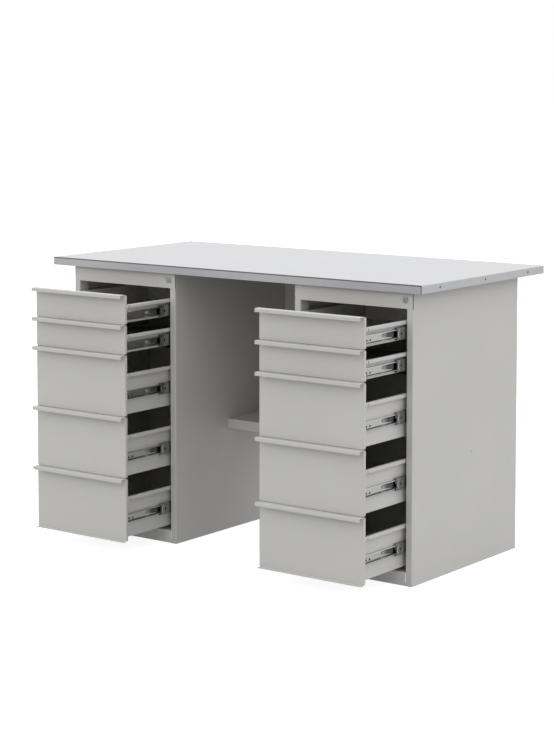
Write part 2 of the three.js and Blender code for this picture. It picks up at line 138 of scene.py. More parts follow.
class DrawerSizes(bpy.types.PropertyGroup):
    """Sizes of the drawer fronts and trays."""

    sheet: length("Front sheet", "Thickness of the front's sheet", 1.2)
    bend: length("Front bend", "Radius of the front's folds, at the sheet's middle", 1.8)
    ledge: length("Ledge", "Depth of the pull ledge in front of the panel", 21.0)
    lip: length("Lip", "Height of the lip that hangs from the pull ledge", 11.0)
    under: length("Return", "Depth of the returns behind a front", 9.0)
    kick: length("Kick flange", "Flange that points forward below the lowest front", 12.0)
    drop: length("Drop", "How far a front reaches down over the gap below it", 2.85)
    corner_width: length("Corner width", "Width cut off at a front's lower corners", 5.0)
    corner_height: length("Corner height", "Height cut off at a front's lower corners", 7.0)
    tray_sheet: length("Tray sheet", "Thickness of the tray's sheet", 1.0)
    tray_bend: length("Tray bend", "Radius of the tray's folds, at the sheet's middle", 1.5)
    hem: length("Hem", "Width of the hems along the tray's sides", 9.8)
    hem_lip: length("Hem lip", "Height of the hems' outer lips", 10.0)
    wall_drop: length("Wall drop", "How far the end walls stop below the hems", 3.0)


class SlideSizes(bpy.types.PropertyGroup):
    """Sizes of the three-section slides."""

    sheet: length("Sheet", "Thickness of the members", 1.2)
    bend: length("Bend", "Radius of the races, at the sheet's middle", 1.15)
    lip: length("Race lip", "Height of the lips that keep the balls in", 2.4)
    setback: length("Setback", "Cabinet member behind the pedestal's front", 22.0)
    run: length("Length", "Length of the cabinet and drawer members", 500.0)
    tray_gap: length("Tray gap", "Drawer member behind the tray's front", 0.4)
    cabinet: length("Cabinet member", "Height of the cabinet member", 45.7)
    middle: length("Middle member", "Height of the middle member", 35.4)
    drawer: length("Drawer member", "Height of the drawer member", 26.5)
    reach: length("Reach", "Depth of the cabinet member's channel", 9.5)
    gap: length("Member gap", "Space between two members' webs", 1.1)
    ball: length("Ball", "Diameter of the bearing balls", 3.0)
    ball_pitch: length("Ball pitch", "Distance from ball to ball in a cage", 14.0)
    screw: length("Screw", "Diameter of the blackened fixing screws", 7.0)
    screw_front: length("First screw", "Distance of the first screw behind the member's front", 13.5)
    screw_step: length("Screw step", "Distance between the screws", 17.0)
    screw_drop: length("Screw drop", "How far the screws sit below the member's middle", 3.5)
    lever: length("Lever", "Length of the release lever", 45.0)
    lever_rise: length("Lever rise", "Thickness of the release lever", 1.6)
    # A dark strip along each drawer member's lower race, painted in as the shade in the channel's inside
    # corner.
    shade_strip_front: length("Shade strip at the front", "Height of the painted shade strip at its front end", 1.1)
    shade_strip_back: length("Shade strip at the lever", "Height of the painted shade strip from the lever on", 2.6)
    shade_strip_rise: length("Shade strip rise", "Thickness of the painted shade strip", 0.8)
    bumper_rise: length("Bumper rise", "Thickness of the bumpers and end stops", 0.6)
    hole: length("Hole", "Diameter of the hole near the middle member's front", 6.4)
    cage: length("Cage", "Thickness of the ball cages", 0.7)
    cage_width: length("Cage width", "Width of the ball cages", 2.8)
    cage_end: length("Cage end", "Distance of the cages from the middle member's ends", 6.0)
    inner_end: length("Inner cage end", "Rear end of the inner cages behind the member's front", 190.0)
    outer_start: length("Outer cage start", "Start of the outer cages behind the member's front", 220.0)


class LockSizes(bpy.types.PropertyGroup):
    """Sizes of the cam locks in the top rails."""

    bezel: length("Bezel", "Diameter of the lock's face", 19.0)
    barrel: length("Barrel", "Diameter of the lock's barrel", 16.0)
    plug: length("Plug", "Diameter of the turning plug", 11.0)
    rise: length("Rise", "How far the bezel stands in front of the rail", 2.5)
    keyway_width: length("Keyway width", "Width of the key slot", 1.6)
    keyway_height: length("Keyway height", "Height of the key slot", 7.0)
    keyway_depth: length("Keyway depth", "Depth of the key slot", 4.0)
    nut: length("Nut", "Width of the nut across its corners", 23.6)
    nut_gap: length("Nut gap", "Distance of the nut behind the rail's face", 1.4)
    nut_height: length("Nut height", "Thickness of the nut", 3.5)
    disc: length("Disc", "Thickness of the disc that carries the pin", 2.0)
    disc_gap: length("Disc gap", "Space between the barrel and the disc", 0.25)
    pin: length("Pin", "Diameter of the pin that lifts the lock bar", 3.5)
    pin_offset: length("Pin offset", "Distance of the pin from the lock's axis, across and down", 3.5)


class Finishes(bpy.types.PropertyGroup):
    """Colours of the bench's finishes."""

    paint: tint("Paint", "Powder coat on the carcass and drawers", (0.556, 0.551, 0.534))
    zinc: tint("Zinc sheet", "Cladding of the worktop", (0.575, 0.578, 0.592))
    bright: tint("Bright zinc", "Plating of the slides", (0.6, 0.6, 0.595))
    # Same plate as the bright zinc, painted darker on the middle members as shade.
    shaded: tint("Oiled zinc", "Plating of the middle members, painted darker as shade", (0.29, 0.29, 0.293))
    nickel: tint("Nickel", "Plating of the locks", (0.47, 0.47, 0.475))
    plastic: tint("Plastic", "Release levers and caps", (0.05, 0.05, 0.051))
    # Grey that the release levers fade to at their front ends, painted as the soft edge of a dark
    # reflection.
    lever_fade_grey: tint("Lever fade", "Front ends of the release levers", (0.36, 0.36, 0.36))
    chip: tint("Board", "Pressed wood under the cladding", (0.1, 0.075, 0.05))
    ball: tint("Balls", "Hardened bearing balls", (0.62, 0.63, 0.65))
    floor: tint("Floor", "The studio floor", (0.45, 0.45, 0.45))


class StudioSettings(bpy.types.PropertyGroup):
    """The camera and the lights."""

    place: bpy.props.FloatVectorProperty(
        name="Camera",
        description="Where the camera stands",
        default=(3.7665, -5.0383, 1.5094),
        subtype="XYZ",
        unit="LENGTH",
    )
    yaw: bpy.props.FloatProperty(
        name="Yaw",
        description="Turn of the camera from straight back towards the left",
        default=math.radians(36.676),
        subtype="ANGLE",
    )
    pitch: bpy.props.FloatProperty(
        name="Pitch",
        description="How far the camera looks down",
        default=math.radians(4.641),
        subtype="ANGLE",
    )
    lens: bpy.props.FloatProperty(name="Lens", description="Focal length in millimetres", default=98.95)
    shift: bpy.props.FloatProperty(name="Shift", description="Vertical shift of the lens", default=-0.2)
    sky: strength("Sky", "Strength of the light from above", 1.25)
    backdrop: strength("Backdrop", "Strength of the light from behind", 1.0)
    room: strength("Room", "Strength of the light from the front", 0.5)
    key: strength("Key", "Power of the soft light at the left", 12.0)


class WorkbenchSettings(bpy.types.PropertyGroup):
    """All settings of the workbench."""

    worktop: bpy.props.PointerProperty(type=WorktopSizes)
    carcass: bpy.props.PointerProperty(type=CarcassSizes)
    drawers: bpy.props.PointerProperty(type=DrawerSizes)
    slides: bpy.props.PointerProperty(type=SlideSizes)
    locks: bpy.props.PointerProperty(type=LockSizes)
    finishes: bpy.props.PointerProperty(type=Finishes)
    studio: bpy.props.PointerProperty(type=StudioSettings)


class Pedestal:
    """Where one pedestal stands, read from the frame."""

    def __init__(self, side, sizes):
        left, right = (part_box(f"{side}_side_panel_{hand}") for hand in "lr")
        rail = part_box(f"{side}_top_cover")
        self.centre = (left[0][0] + right[1][0]) / 2
        self.half = (right[1][0] - left[0][0]) / 2
        self.opening = self.half - sizes.post
        self.front, self.back = left[0][1], left[1][1]
        self.panel_top = left[1][2]
        self.rail_bottom, self.top = rail[0][2], rail[1][2]
        self.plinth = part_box(f"{side}_floor_pan")[1][2]


class Drawer:
    """Where one drawer stands at rest, read from the frame."""

    def __init__(self, side, number, sizes):
        self.name = f"{side}_drawer_{number}"
        self.first = number == FIRST_DRAWER
        self.last = number == LAST_DRAWER
        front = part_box(f"{self.name}_front")
        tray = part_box(f"{self.name}_tray")
        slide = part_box(f"{self.name}_slide_r")
        self.low = front[0][2] - (0.0 if self.last else sizes.drop)
        self.high = front[1][2]
        self.left, self.right = front[0][0], front[1][0]
        self.ledge = front[0][1]
        self.panel = self.ledge + sizes.ledge + sizes.sheet / 2
        self.centre = (tray[0][0] + tray[1][0]) / 2
        self.tray_half = (tray[1][0] - tray[0][0]) / 2 - sizes.hem
        self.tray_front, self.tray_back = tray[0][1], tray[1][1]
        self.tray_low, self.tray_high = tray[0][2], tray[1][2]
        self.hem_bottom = self.tray_high - sizes.hem_lip
        self.slide_z = (slide[0][2] + slide[1][2]) / 2
        self.middle_front, self.middle_back = slide[0][1], slide[1][1]


def at(axis, u, v, w):
    """A point from section coordinates u and v, and the distance w along the sweep's axis."""
    if axis == "X":
        return Vector((w, u, v))
    if axis == "Y":
        return Vector((u, w, v))
    return Vector((u, v, w))


def corners(box):
    """A box's low and high corners as vectors."""
    return [Vector(corner) for corner in box]


def verts_of(geometry):
    """The vertices among an operator's results."""
    return [g for g in geometry if isinstance(g, bmesh.types.BMVert)]


def edges_of(geometry):
    """The edges among an operator's results."""
    return [g for g in geometry if isinstance(g, bmesh.types.BMEdge)]


def face_outwards(bm):
    """Turns all faces outwards."""
    bmesh.ops.recalc_face_normals(bm, faces=bm.faces[:])


def sweep(bm, path, axis, start, end):
    """Sweeps a section of [u, v] points along an axis, as a sheet with no thickness."""
    line = [bm.verts.new(at(axis, u, v, start)) for u, v in path]
    edges = [bm.edges.new(pair) for pair in zip(line, line[1:])]
    return push(bm, edges, at(axis, 0, 0, end - start))


def push(bm, edges, vector):
    """Extrudes edges along a vector, and returns the new edges at the far end."""
    grown = bmesh.ops.extrude_edge_only(bm, edges=edges)["geom"]
    verts = verts_of(grown)
    bmesh.ops.translate(bm, verts=verts, vec=vector)
    far = set(verts)
    return [e for e in edges_of(grown) if set(e.verts) <= far]


def push_faces(bm, faces, vector):
    """Extrudes faces along a vector into a closed solid."""
    grown = bmesh.ops.extrude_face_region(bm, geom=faces, use_keep_orig=True)["geom"]
    bmesh.ops.translate(bm, verts=verts_of(grown), vec=vector)
    face_outwards(bm)


def bend_back(bm, edges, centre, axis):
    """Bends a sheet's open edges through a right angle, and returns the edges at the bend's end."""
    verts = list({v for e in edges for v in e.verts})
    last = bmesh.ops.spin(
        bm,
        geom=verts + edges,
        cent=centre,
        axis=axis,
        angle=math.pi / 2,
        steps=BEND_STEPS,
    )["geom_last"]
    return edges_of(last)


def end_edges(bm, x, test):
    """Open edges at a sheet's end, across X, whose vertices both pass a test."""
    ends = [e for e in bm.edges if e.is_boundary and all(abs(v.co.x - x) < NEAR for v in e.verts)]
    return [e for e in ends if all(test(v.co) for v in e.verts)]


def fold(bm, radius):
    """Rounds every fold of the sheets made so far."""
    folds = [e for e in bm.edges if len(e.link_faces) == 2 and e.calc_face_angle(0.0) > FOLD_ANGLE]
    bmesh.ops.bevel(
        bm,
        geom=folds,
        offset=radius,
        offset_type="OFFSET",
        segments=BEND_STEPS,
        profile=0.5,
        affect="EDGES",
        material=-1,
        clamp_overlap=False,
    )


def score(bm, low, high):
    """Cuts the faces that a box touches along its sides, and returns the faces inside it."""
    middle = (low + high) / 2
    for corner in (low, high):
        for axis in range(3):
            near = [f for f in bm.faces if touches(f, low, high)]
            parts = set(near)
            for face in near:
                parts.update(face.edges)
                parts.update(face.verts)
            normal = Vector((0, 0, 0))
            normal[axis] = math.copysign(1, corner[axis] - middle[axis])
            bmesh.ops.bisect_plane(bm, geom=list(parts), dist=FINE, plane_co=corner, plane_no=normal)
    return [f for f in bm.faces if encloses(f.calc_center_median(), low, high)]


def touches(face, low, high):
    """Whether a face's own box meets a box."""
    for axis in range(3):
        places = [v.co[axis] for v in face.verts]
        if max(places) < low[axis] or min(places) > high[axis]:
            return False
    return True


def encloses(point, low, high):
    """Whether a box holds a point."""
    return all(low[axis] < point[axis] < high[axis] for axis in range(3))


def window(bm, low, high):
    """Cuts a rectangular opening in the sheets inside a box."""
    bmesh.ops.delete(bm, geom=score(bm, low, high), context="FACES")


def round_hole(bm, centre, axis, radius, margin=1.7, depth=0.0005):
    """Cuts a round hole in a flat sheet whose normal is the axis X or Y."""
    reach = Vector((radius, radius, radius)) * margin
    reach["XY".index(axis)] = depth
    inside = score(bm, centre - reach, centre + reach)
    rim = list({e for f in inside for e in f.edges})
    bmesh.ops.delete(bm, geom=inside, context="FACES_ONLY")
    sides = bmesh.ops.subdivide_edges(bm, edges=rim, cuts=5)["geom_split"]
    rim = list(set(edges_of(sides)) | {e for e in rim if e.is_valid})
    rim = [e for e in rim if e.is_boundary]
    ring = bmesh.ops.create_circle(bm, segments=24, radius=1.0, matrix=Matrix())["verts"]
    bmesh.ops.rotate(bm, verts=ring, cent=(0, 0, 0), matrix=Matrix.Rotation(math.radians(45), 3, "Z"))
    normal = ALONG_X if axis == "X" else ALONG_Y
    turn = normal.to_track_quat("Z", "Y").to_matrix().to_4x4()
    scale = Matrix.Diagonal((radius, radius, 1, 1))
    bmesh.ops.transform(bm, verts=ring, matrix=Matrix.Translation(centre) @ turn @ scale)
    round_rim = list({e for v in ring for e in v.link_edges})
    bmesh.ops.bridge_loops(bm, edges=rim + round_rim)


def sink(bm, low, high, vector):
    """Presses the part of a flat face inside a box inwards, as a pocket."""
    faces = score(bm, low, high)
    grown = bmesh.ops.extrude_face_region(bm, geom=faces)["geom"]
    bmesh.ops.delete(bm, geom=[f for f in faces if f.is_valid], context="FACES_ONLY")
    bmesh.ops.translate(bm, verts=verts_of(grown), vec=vector)


def turned(bm, profile, centre, axis, steps=48):
    """Spins a profile of [radius, distance] points round an axis through a centre."""
    side = Vector((0, 0, 1)) if abs(axis.z) < 0.5 else Vector((1, 0, 0))
    line = [bm.verts.new(centre + side * radius + axis * along) for radius, along in profile]
    edges = [bm.edges.new(pair) for pair in zip(line, line[1:])]
    bmesh.ops.spin(
        bm,
        geom=line + edges,
        cent=centre,
        axis=axis,
        angle=math.tau,
        steps=steps,
        use_merge=True,
        use_duplicate=False,
    )
    bmesh.ops.remove_doubles(bm, verts=bm.verts[:], dist=NEAR)
    bmesh.ops.dissolve_degenerate(bm, edges=bm.edges[:], dist=FINE)
    face_outwards(bm)


def slab(bm, outline, x, rise):
    """Extrudes an outline of [y, z] points along X into a closed plate."""
    face = bm.faces.new([bm.verts.new(at("X", y, z, x)) for y, z in outline])
    push_faces(bm, [face], Vector((rise, 0, 0)))


def merge(bm, other):
    """Adds another bmesh to this one."""
    mesh = bpy.data.meshes.new("part")
    other.to_mesh(mesh)
    other.free()
    bm.from_mesh(mesh)
    bpy.data.meshes.remove(mesh)


def add_turned(bm, profile, centre, axis, steps=48):
    """Adds a turned part to a mesh."""
    part = bmesh.new()
    turned(part, profile, centre, axis, steps)
    merge(bm, part)


def make_piece(bm, name, body, material, replaces=()):
    """Turns a bmesh into a piece that rides on a body and takes the finish of a slot."""
    for face in bm.faces:
        face.smooth = True
    mesh = bpy.data.meshes.new(name)
    bm.to_mesh(mesh)
    bm.free()
    mesh.materials.append(material)
    piece = bpy.data.objects.new(name, mesh)
    bpy.context.scene.collection.objects.link(piece)
    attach(piece, body)
    if replaces:
        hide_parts(*replaces)
    return piece


def bake(piece):
    """Makes a piece's modifiers part of its mesh."""
    depsgraph = bpy.context.evaluated_depsgraph_get()
    mesh = bpy.data.meshes.new_from_object(piece.evaluated_get(depsgraph), depsgraph=depsgraph)
    rough = piece.data
    piece.modifiers.clear()
    piece.data = mesh
    bpy.data.meshes.remove(rough)
    mesh.name = piece.name


def thicken(piece, thickness, edge=0.00025):
    """Gives a sheet its thickness on both sides of its middle, and eases its cut edges."""
    solid = piece.modifiers.new("Thickness", "SOLIDIFY")
    solid.thickness = thickness
    solid.offset = 0.0
    solid.use_even_offset = True
    solid.use_quality_normals = True
    soften(piece, edge)


def soften(piece, edge=0.00025, steps=2):
    """Rounds a piece's sharp edges and keeps its flat faces flat in the light."""
    rounding = piece.modifiers.new("Eased edges", "BEVEL")
    rounding.width = edge
    rounding.segments = steps
    rounding.limit_method = "ANGLE"
    rounding.angle_limit = SHARP
    rounding.use_clamp_overlap = True
    even = piece.modifiers.new("Flat faces", "WEIGHTED_NORMAL")
    even.keep_sharp = True
    even.weight = 80
    bake(piece)


def shader_group(name, inputs, outputs):
    """A new shader node group with its sockets, and its input and output nodes."""
    group = bpy.data.node_groups.new(name, "ShaderNodeTree")
    for socket, kind, default in inputs:
        item = group.interface.new_socket(socket, in_out="INPUT", socket_type=kind)
        if default is not None:
            item.default_value = default
    for socket, kind in outputs:
        group.interface.new_socket(socket, in_out="OUTPUT", socket_type=kind)
    return group, group.nodes.new("NodeGroupInput"), group.nodes.new("NodeGroupOutput")


def mottle_group():
    """Slow, cloudy variation between two values."""
    known = bpy.data.node_groups.get("Mottle")
    if known:
        return known
    group, source, target = shader_group(
        "Mottle",
        [
            ("Vector", "NodeSocketVector", None),
            ("Scale", "NodeSocketFloat", 4.0),
            ("Low", "NodeSocketFloat", 0.0),
            ("High", "NodeSocketFloat", 1.0),
        ],
        [("Value", "NodeSocketFloat")],
    )
    noise = group.nodes.new("ShaderNodeTexNoise")
    noise.inputs["Detail"].default_value = 3.0
    noise.inputs["Roughness"].default_value = 0.55
    spread = group.nodes.new("ShaderNodeMapRange")
    spread.inputs["From Min"].default_value = 0.3
    spread.inputs["From Max"].default_value = 0.7
    link = group.links.new
    link(source.outputs["Vector"], noise.inputs["Vector"])
    link(source.outputs["Scale"], noise.inputs["Scale"])
    link(noise.outputs["Fac"], spread.inputs["Value"])
    link(source.outputs["Low"], spread.inputs["To Min"])
    link(source.outputs["High"], spread.inputs["To Max"])
    link(spread.outputs["Result"], target.inputs["Value"])
    return group


def grain_group():
    """Fine grain, stretched along one direction for rolled and drawn metal."""
    known = bpy.data.node_groups.get("Grain")
    if known:
        return known
    group, source, target = shader_group(
        "Grain",
        [
            ("Vector", "NodeSocketVector", None),
            ("Stretch", "NodeSocketVector", (1.0, 1.0, 1.0)),
            ("Scale", "NodeSocketFloat", 600.0),
        ],
        [("Value", "NodeSocketFloat")],
    )
    squeeze = group.nodes.new("ShaderNodeVectorMath")
    squeeze.operation = "MULTIPLY"
    noise = group.nodes.new("ShaderNodeTexNoise")
    noise.inputs["Detail"].default_value = 2.0
    noise.inputs["Roughness"].default_value = 0.5
    link = group.links.new
    link(source.outputs["Vector"], squeeze.inputs[0])
    link(source.outputs["Stretch"], squeeze.inputs[1])
    link(squeeze.outputs["Vector"], noise.inputs["Vector"])
    link(source.outputs["Scale"], noise.inputs["Scale"])
    link(noise.outputs["Fac"], target.inputs["Value"])
    return group


def edge_group():
    """A mask of the folds and cut edges, where a painted highlight goes."""
    known = bpy.data.node_groups.get("Edge mask")
    if known:
        return known
    group, source, target = shader_group(
        "Edge mask",
        [("Sharpness", "NodeSocketFloat", 6.0)],
        [("Mask", "NodeSocketFloat")],
    )
    bevel = group.nodes.new("ShaderNodeBevel")
    bevel.samples = 4
    bevel.inputs["Radius"].default_value = 0.0012
    surface = group.nodes.new("ShaderNodeNewGeometry")
    dot = group.nodes.new("ShaderNodeVectorMath")
    dot.operation = "DOT_PRODUCT"
    away = group.nodes.new("ShaderNodeMath")
    away.operation = "SUBTRACT"
    away.inputs[0].default_value = 1.0
    boost = group.nodes.new("ShaderNodeMath")
    boost.operation = "MULTIPLY"
    boost.use_clamp = True
    link = group.links.new
    link(bevel.outputs["Normal"], dot.inputs[0])
    link(surface.outputs["Normal"], dot.inputs[1])
    link(dot.outputs["Value"], away.inputs[1])
    link(away.outputs["Value"], boost.inputs[0])
    link(source.outputs["Sharpness"], boost.inputs[1])
    link(boost.outputs["Value"], target.inputs["Mask"])
    return group


def ramp(nodes, source, target):
    """A smooth step from one range of values to another."""
    node = nodes.new("ShaderNodeMapRange")
    node.interpolation_type = "SMOOTHSTEP"
    node.inputs["From Min"].default_value, node.inputs["From Max"].default_value = source
    node.inputs["To Min"].default_value, node.inputs["To Max"].default_value = target
    return node


class Finish:
    """A material under construction: a Principled shader and the nodes that feed it."""

    def __init__(self, name):
        self.material = bpy.data.materials.new(name)
        self.material.use_nodes = True
        self.nodes = self.material.node_tree.nodes
        self.link = self.material.node_tree.links.new
        self.shader = self.nodes["Principled BSDF"]
        self.coordinates = self.nodes.new("ShaderNodeTexCoord").outputs["Object"]

    def group(self, tree, **values):
        """Places a shared effect with its own values."""
        node = self.nodes.new("ShaderNodeGroup")
        node.node_tree = tree
        if "Vector" in node.inputs:
            self.link(self.coordinates, node.inputs["Vector"])
        for socket, value in values.items():
            node.inputs[socket].default_value = value
        return node.outputs[0]

    def mix(self, mask, first, second):
        """Mixes two colours, or an output and a colour, by a mask."""
        node = self.nodes.new("ShaderNodeMix")
        node.data_type = "RGBA"
        self.link(mask, node.inputs["Factor"])
        for socket, value in ((node.inputs[6], first), (node.inputs[7], second)):
            if isinstance(value, bpy.types.NodeSocket):
                self.link(value, socket)
            else:
                socket.default_value = (*value, 1.0)
        return node.outputs[2]

    def cloudy(self, colour, scale, dark, light):
        """A colour that varies slowly between a darker and a lighter shade."""
        cloud = self.group(mottle_group(), Scale=scale, Low=0.0, High=1.0)
        return self.mix(cloud, shade(colour, dark), shade(colour, light))

    def edge_highlight(self, base, sharpness, colour):
        """A base colour with another on the folds and cut edges, used as a painted highlight."""
        return self.mix(self.group(edge_group(), Sharpness=sharpness), base, colour)

    def spread(self, base, scale, low, high):
        """Sets the base colour, and a roughness that varies slowly between two values."""
        self.link(base, self.shader.inputs["Base Color"])
        cloud = self.group(mottle_group(), Scale=scale, Low=low, High=high)
        self.link(cloud, self.shader.inputs["Roughness"])

    def cells(self, scale):
        """Random cells: a grey from each cell's colour, another, and the distance from its middle."""
        node = self.nodes.new("ShaderNodeTexVoronoi")
        node.inputs["Scale"].default_value = scale
        self.link(self.coordinates, node.inputs["Vector"])
        tone = self.nodes.new("ShaderNodeSeparateColor")
        self.link(node.outputs["Color"], tone.inputs["Color"])
        return tone.outputs["Red"], tone.outputs["Green"], node.outputs["Distance"]

    def axes(self):
        """The object's coordinates, one by one."""
        node = self.nodes.new("ShaderNodeSeparateXYZ")
        self.link(self.coordinates, node.inputs["Vector"])
        return node.outputs

    def bump(self, height, depth, amount):
        """Lets a value raise the surface."""
        node = self.nodes.new("ShaderNodeBump")
        node.inputs["Strength"].default_value = amount
        node.inputs["Distance"].default_value = depth
        self.link(height, node.inputs["Height"])
        self.link(node.outputs["Normal"], self.shader.inputs["Normal"])


def shade(colour, factor):
    """A colour made darker or lighter."""
    return tuple(min(1.0, channel * factor) for channel in colour)


def painted_steel(colours):
    """Powder coat: a fine orange peel, half matt, with a painted highlight that makes the folds a touch
    brighter.
    """
    finish = Finish("Powder coat")
    base = finish.cloudy(colours.paint, scale=3.0, dark=0.975, light=1.02)
    # Painted highlight: folds and cut edges a tenth lighter.
    base = finish.edge_highlight(base, sharpness=2.5, colour=shade(colours.paint, 1.1))
    finish.spread(base, scale=40.0, low=0.4, high=0.5)
    finish.bump(finish.group(grain_group(), Scale=850.0), depth=0.0002, amount=0.12)
    finish.shader.inputs["Specular IOR Level"].default_value = 0.4
    return finish.material


def overlap(finish, *steps):
    """A mask where two steps meet, each given as an axis and the range that it rises over."""
    places = finish.axes()
    both = finish.nodes.new("ShaderNodeMath")
    both.operation = "MULTIPLY"
    for socket, (axis, span) in zip(both.inputs, steps):
        step = ramp(finish.nodes, span, (0.0, 1.0))
        finish.link(places[axis], step.inputs["Value"])
        finish.link(step.outputs["Result"], socket)
    return both.outputs["Value"]


def painted_fold_reflection(finish, clear=0.005, full=0.002):
    """A mask of the worktop's front fold, where a painted dark reflection darkens the zinc."""
    low, high = corners(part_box("worktop_skin"))
    from_front = (low.y + clear, low.y + full)
    from_top = (high.z - clear, high.z - full)
    return overlap(finish, ("Y", from_front), ("Z", from_top))


def lever_end_fade(finish, ahead=0.012, start=0.004, fade=0.030):
    """A mask of the release levers' front ends, painted fading to grey so that the levers end softly, as a
    dark reflection would.
    """
    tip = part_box("left_drawer_1_tray")[0][1] + LEVER_PLACE - ahead
    return overlap(finish, ("Y", (tip - start, tip)), ("Y", (tip + fade, tip)))


def zinc_sheet(colours):
    """Galvanised sheet: pale metal with soft crystal spangles, a rolled grain along its length, and a
    painted dark reflection along the front fold.
    """
    finish = Finish("Zinc sheet")
    tone, gloss, _ = finish.cells(55.0)
    base = finish.mix(tone, shade(colours.zinc, 0.985), shade(colours.zinc, 1.015))
    cloud = finish.group(mottle_group(), Scale=2.2, Low=0.0, High=0.5)
    base = finish.mix(cloud, base, shade(colours.zinc, 0.95))
    # Painted dark reflection: the front fold is darkened to about a fifth of the zinc's colour.
    base = finish.mix(painted_fold_reflection(finish), base, shade(colours.zinc, 0.22))
    finish.link(base, finish.shader.inputs["Base Color"])
    dull = finish.nodes.new("ShaderNodeMapRange")
    dull.inputs["To Min"].default_value = 0.34
    dull.inputs["To Max"].default_value = 0.38
    finish.link(gloss, dull.inputs["Value"])
    finish.link(dull.outputs["Result"], finish.shader.inputs["Roughness"])
    grain = finish.group(grain_group(), Stretch=(0.05, 1.0, 1.0), Scale=700.0)
    finish.bump(grain, depth=0.0001, amount=0.08)
    finish.shader.inputs["Metallic"].default_value = 0.85
    return finish.material


def drawn_zinc(name, colour):
    """Zinc plate on drawn steel: grain along the slide, with faint roller marks."""
    finish = Finish(name)
    lines = finish.group(grain_group(), Stretch=(1.0, 0.02, 1.0), Scale=900.0)
    base = finish.mix(lines, shade(colour, 0.97), shade(colour, 1.03))
    # Painted highlight on the folds and cut edges.
    base = finish.edge_highlight(base, sharpness=3.0, colour=shade(colour, 1.15))
    finish.spread(base, scale=25.0, low=0.2, high=0.26)
    finish.bump(lines, depth=0.0001, amount=0.02)
    finish.shader.inputs["Metallic"].default_value = 1.0
    return finish.material


def bright_zinc(colours):
    """Fresh plate on the cabinet and drawer members."""
    return drawn_zinc("Bright zinc", colours.bright)


def shaded_zinc(colours):
    """The same plate on the middle members, painted darker as shade."""
    return drawn_zinc("Oiled zinc", colours.shaded)


def dull_nickel(colours):
    """Nickel on a die casting: smooth, slightly cloudy."""
    finish = Finish("Dull nickel")
    base = finish.cloudy(colours.nickel, scale=180.0, dark=0.9, light=1.08)
    # Painted highlight: folds and cut edges half again as light.
    base = finish.edge_highlight(base, sharpness=3.0, colour=shade(colours.nickel, 1.5))
    finish.spread(base, scale=300.0, low=0.28, high=0.4)
    finish.bump(finish.group(grain_group(), Scale=1500.0), depth=0.0001, amount=0.05)
    finish.shader.inputs["Metallic"].default_value = 0.9
    return finish.material


def black_plastic(colours):
    """Moulded plastic and blackened steel, with a fine grain; the levers' front ends fade to grey as a
    painted reflection, and the strips along the lower races are painted shade.
    """
    finish = Finish("Black plastic")
    base = finish.cloudy(colours.plastic, scale=90.0, dark=0.8, light=1.4)
    # The levers' front ends are painted fading to grey, to end softly as a dark reflection does.
    base = finish.mix(lever_end_fade(finish), base, colours.lever_fade_grey)
    finish.spread(base, scale=200.0, low=0.42, high=0.55)
    finish.bump(finish.group(grain_group(), Scale=2500.0), depth=0.0001, amount=0.15)
    return finish.material


def chip_board(colours):
    """Pressed wood: pale and dark chips in a flat bed."""
    finish = Finish("Pressed board")
    tone, _, height = finish.cells(260.0)
    base = finish.mix(tone, shade(colours.chip, 0.65), shade(colours.chip, 1.25))
    cloud = finish.group(mottle_group(), Scale=30.0, Low=0.0, High=0.6)
    base = finish.mix(cloud, base, colours.chip)
    finish.spread(base, scale=120.0, low=0.7, high=0.9)
    finish.bump(height, depth=0.0004, amount=0.3)
    return finish.material


def ball_steel(colours):
    """Hardened steel balls with a film of oil."""
    finish = Finish("Bearing steel")
    base = finish.cloudy(colours.ball, scale=400.0, dark=0.85, light=1.1)
    finish.spread(base, scale=500.0, low=0.08, high=0.16)
    finish.shader.inputs["Metallic"].default_value = 1.0
    return finish.material


def pale_floor(colours, glow=0.42, seen=0.85, fade=(-3.4, -2.2)):
    """Plain pale studio floor, seen a little brighter than the light that it gives back."""
    finish = Finish("Studio floor")
    base = finish.cloudy(colours.floor, scale=0.6, dark=0.995, light=1.0)
    finish.link(base, finish.shader.inputs["Base Color"])
    near = ramp(finish.nodes, fade, (0.0, 1.0))
    finish.link(finish.axes()["Y"], near.inputs["Value"])
    light = finish.mix(near.outputs["Result"], (0.0, 0.0, 0.0), shade(colours.floor, glow))
    camera_ray = finish.nodes.new("ShaderNodeLightPath").outputs["Is Camera Ray"]
    light = finish.mix(camera_ray, light, (seen, seen, seen))
    finish.link(light, finish.shader.inputs["Emission Color"])
    finish.shader.inputs["Emission Strength"].default_value = 1.0
    finish.shader.inputs["Roughness"].default_value = 0.9
    finish.shader.inputs["Specular IOR Level"].default_value = 0.0
    return finish.material


MAKERS = {
    "paint": painted_steel,
    "zinc": zinc_sheet,
    "bright": bright_zinc,
    "shaded": shaded_zinc,
    "nickel": dull_nickel,
    "plastic": black_plastic,
    "chip": chip_board,
    "ball": ball_steel,
    "floor": pale_floor,
}
made = {}


def finish_of(kind, context):
    """A finish, made the first time that it is asked for."""
    if kind not in made:
        made[kind] = MAKERS[kind](context.scene.workbench.finishes)
    return made[kind]


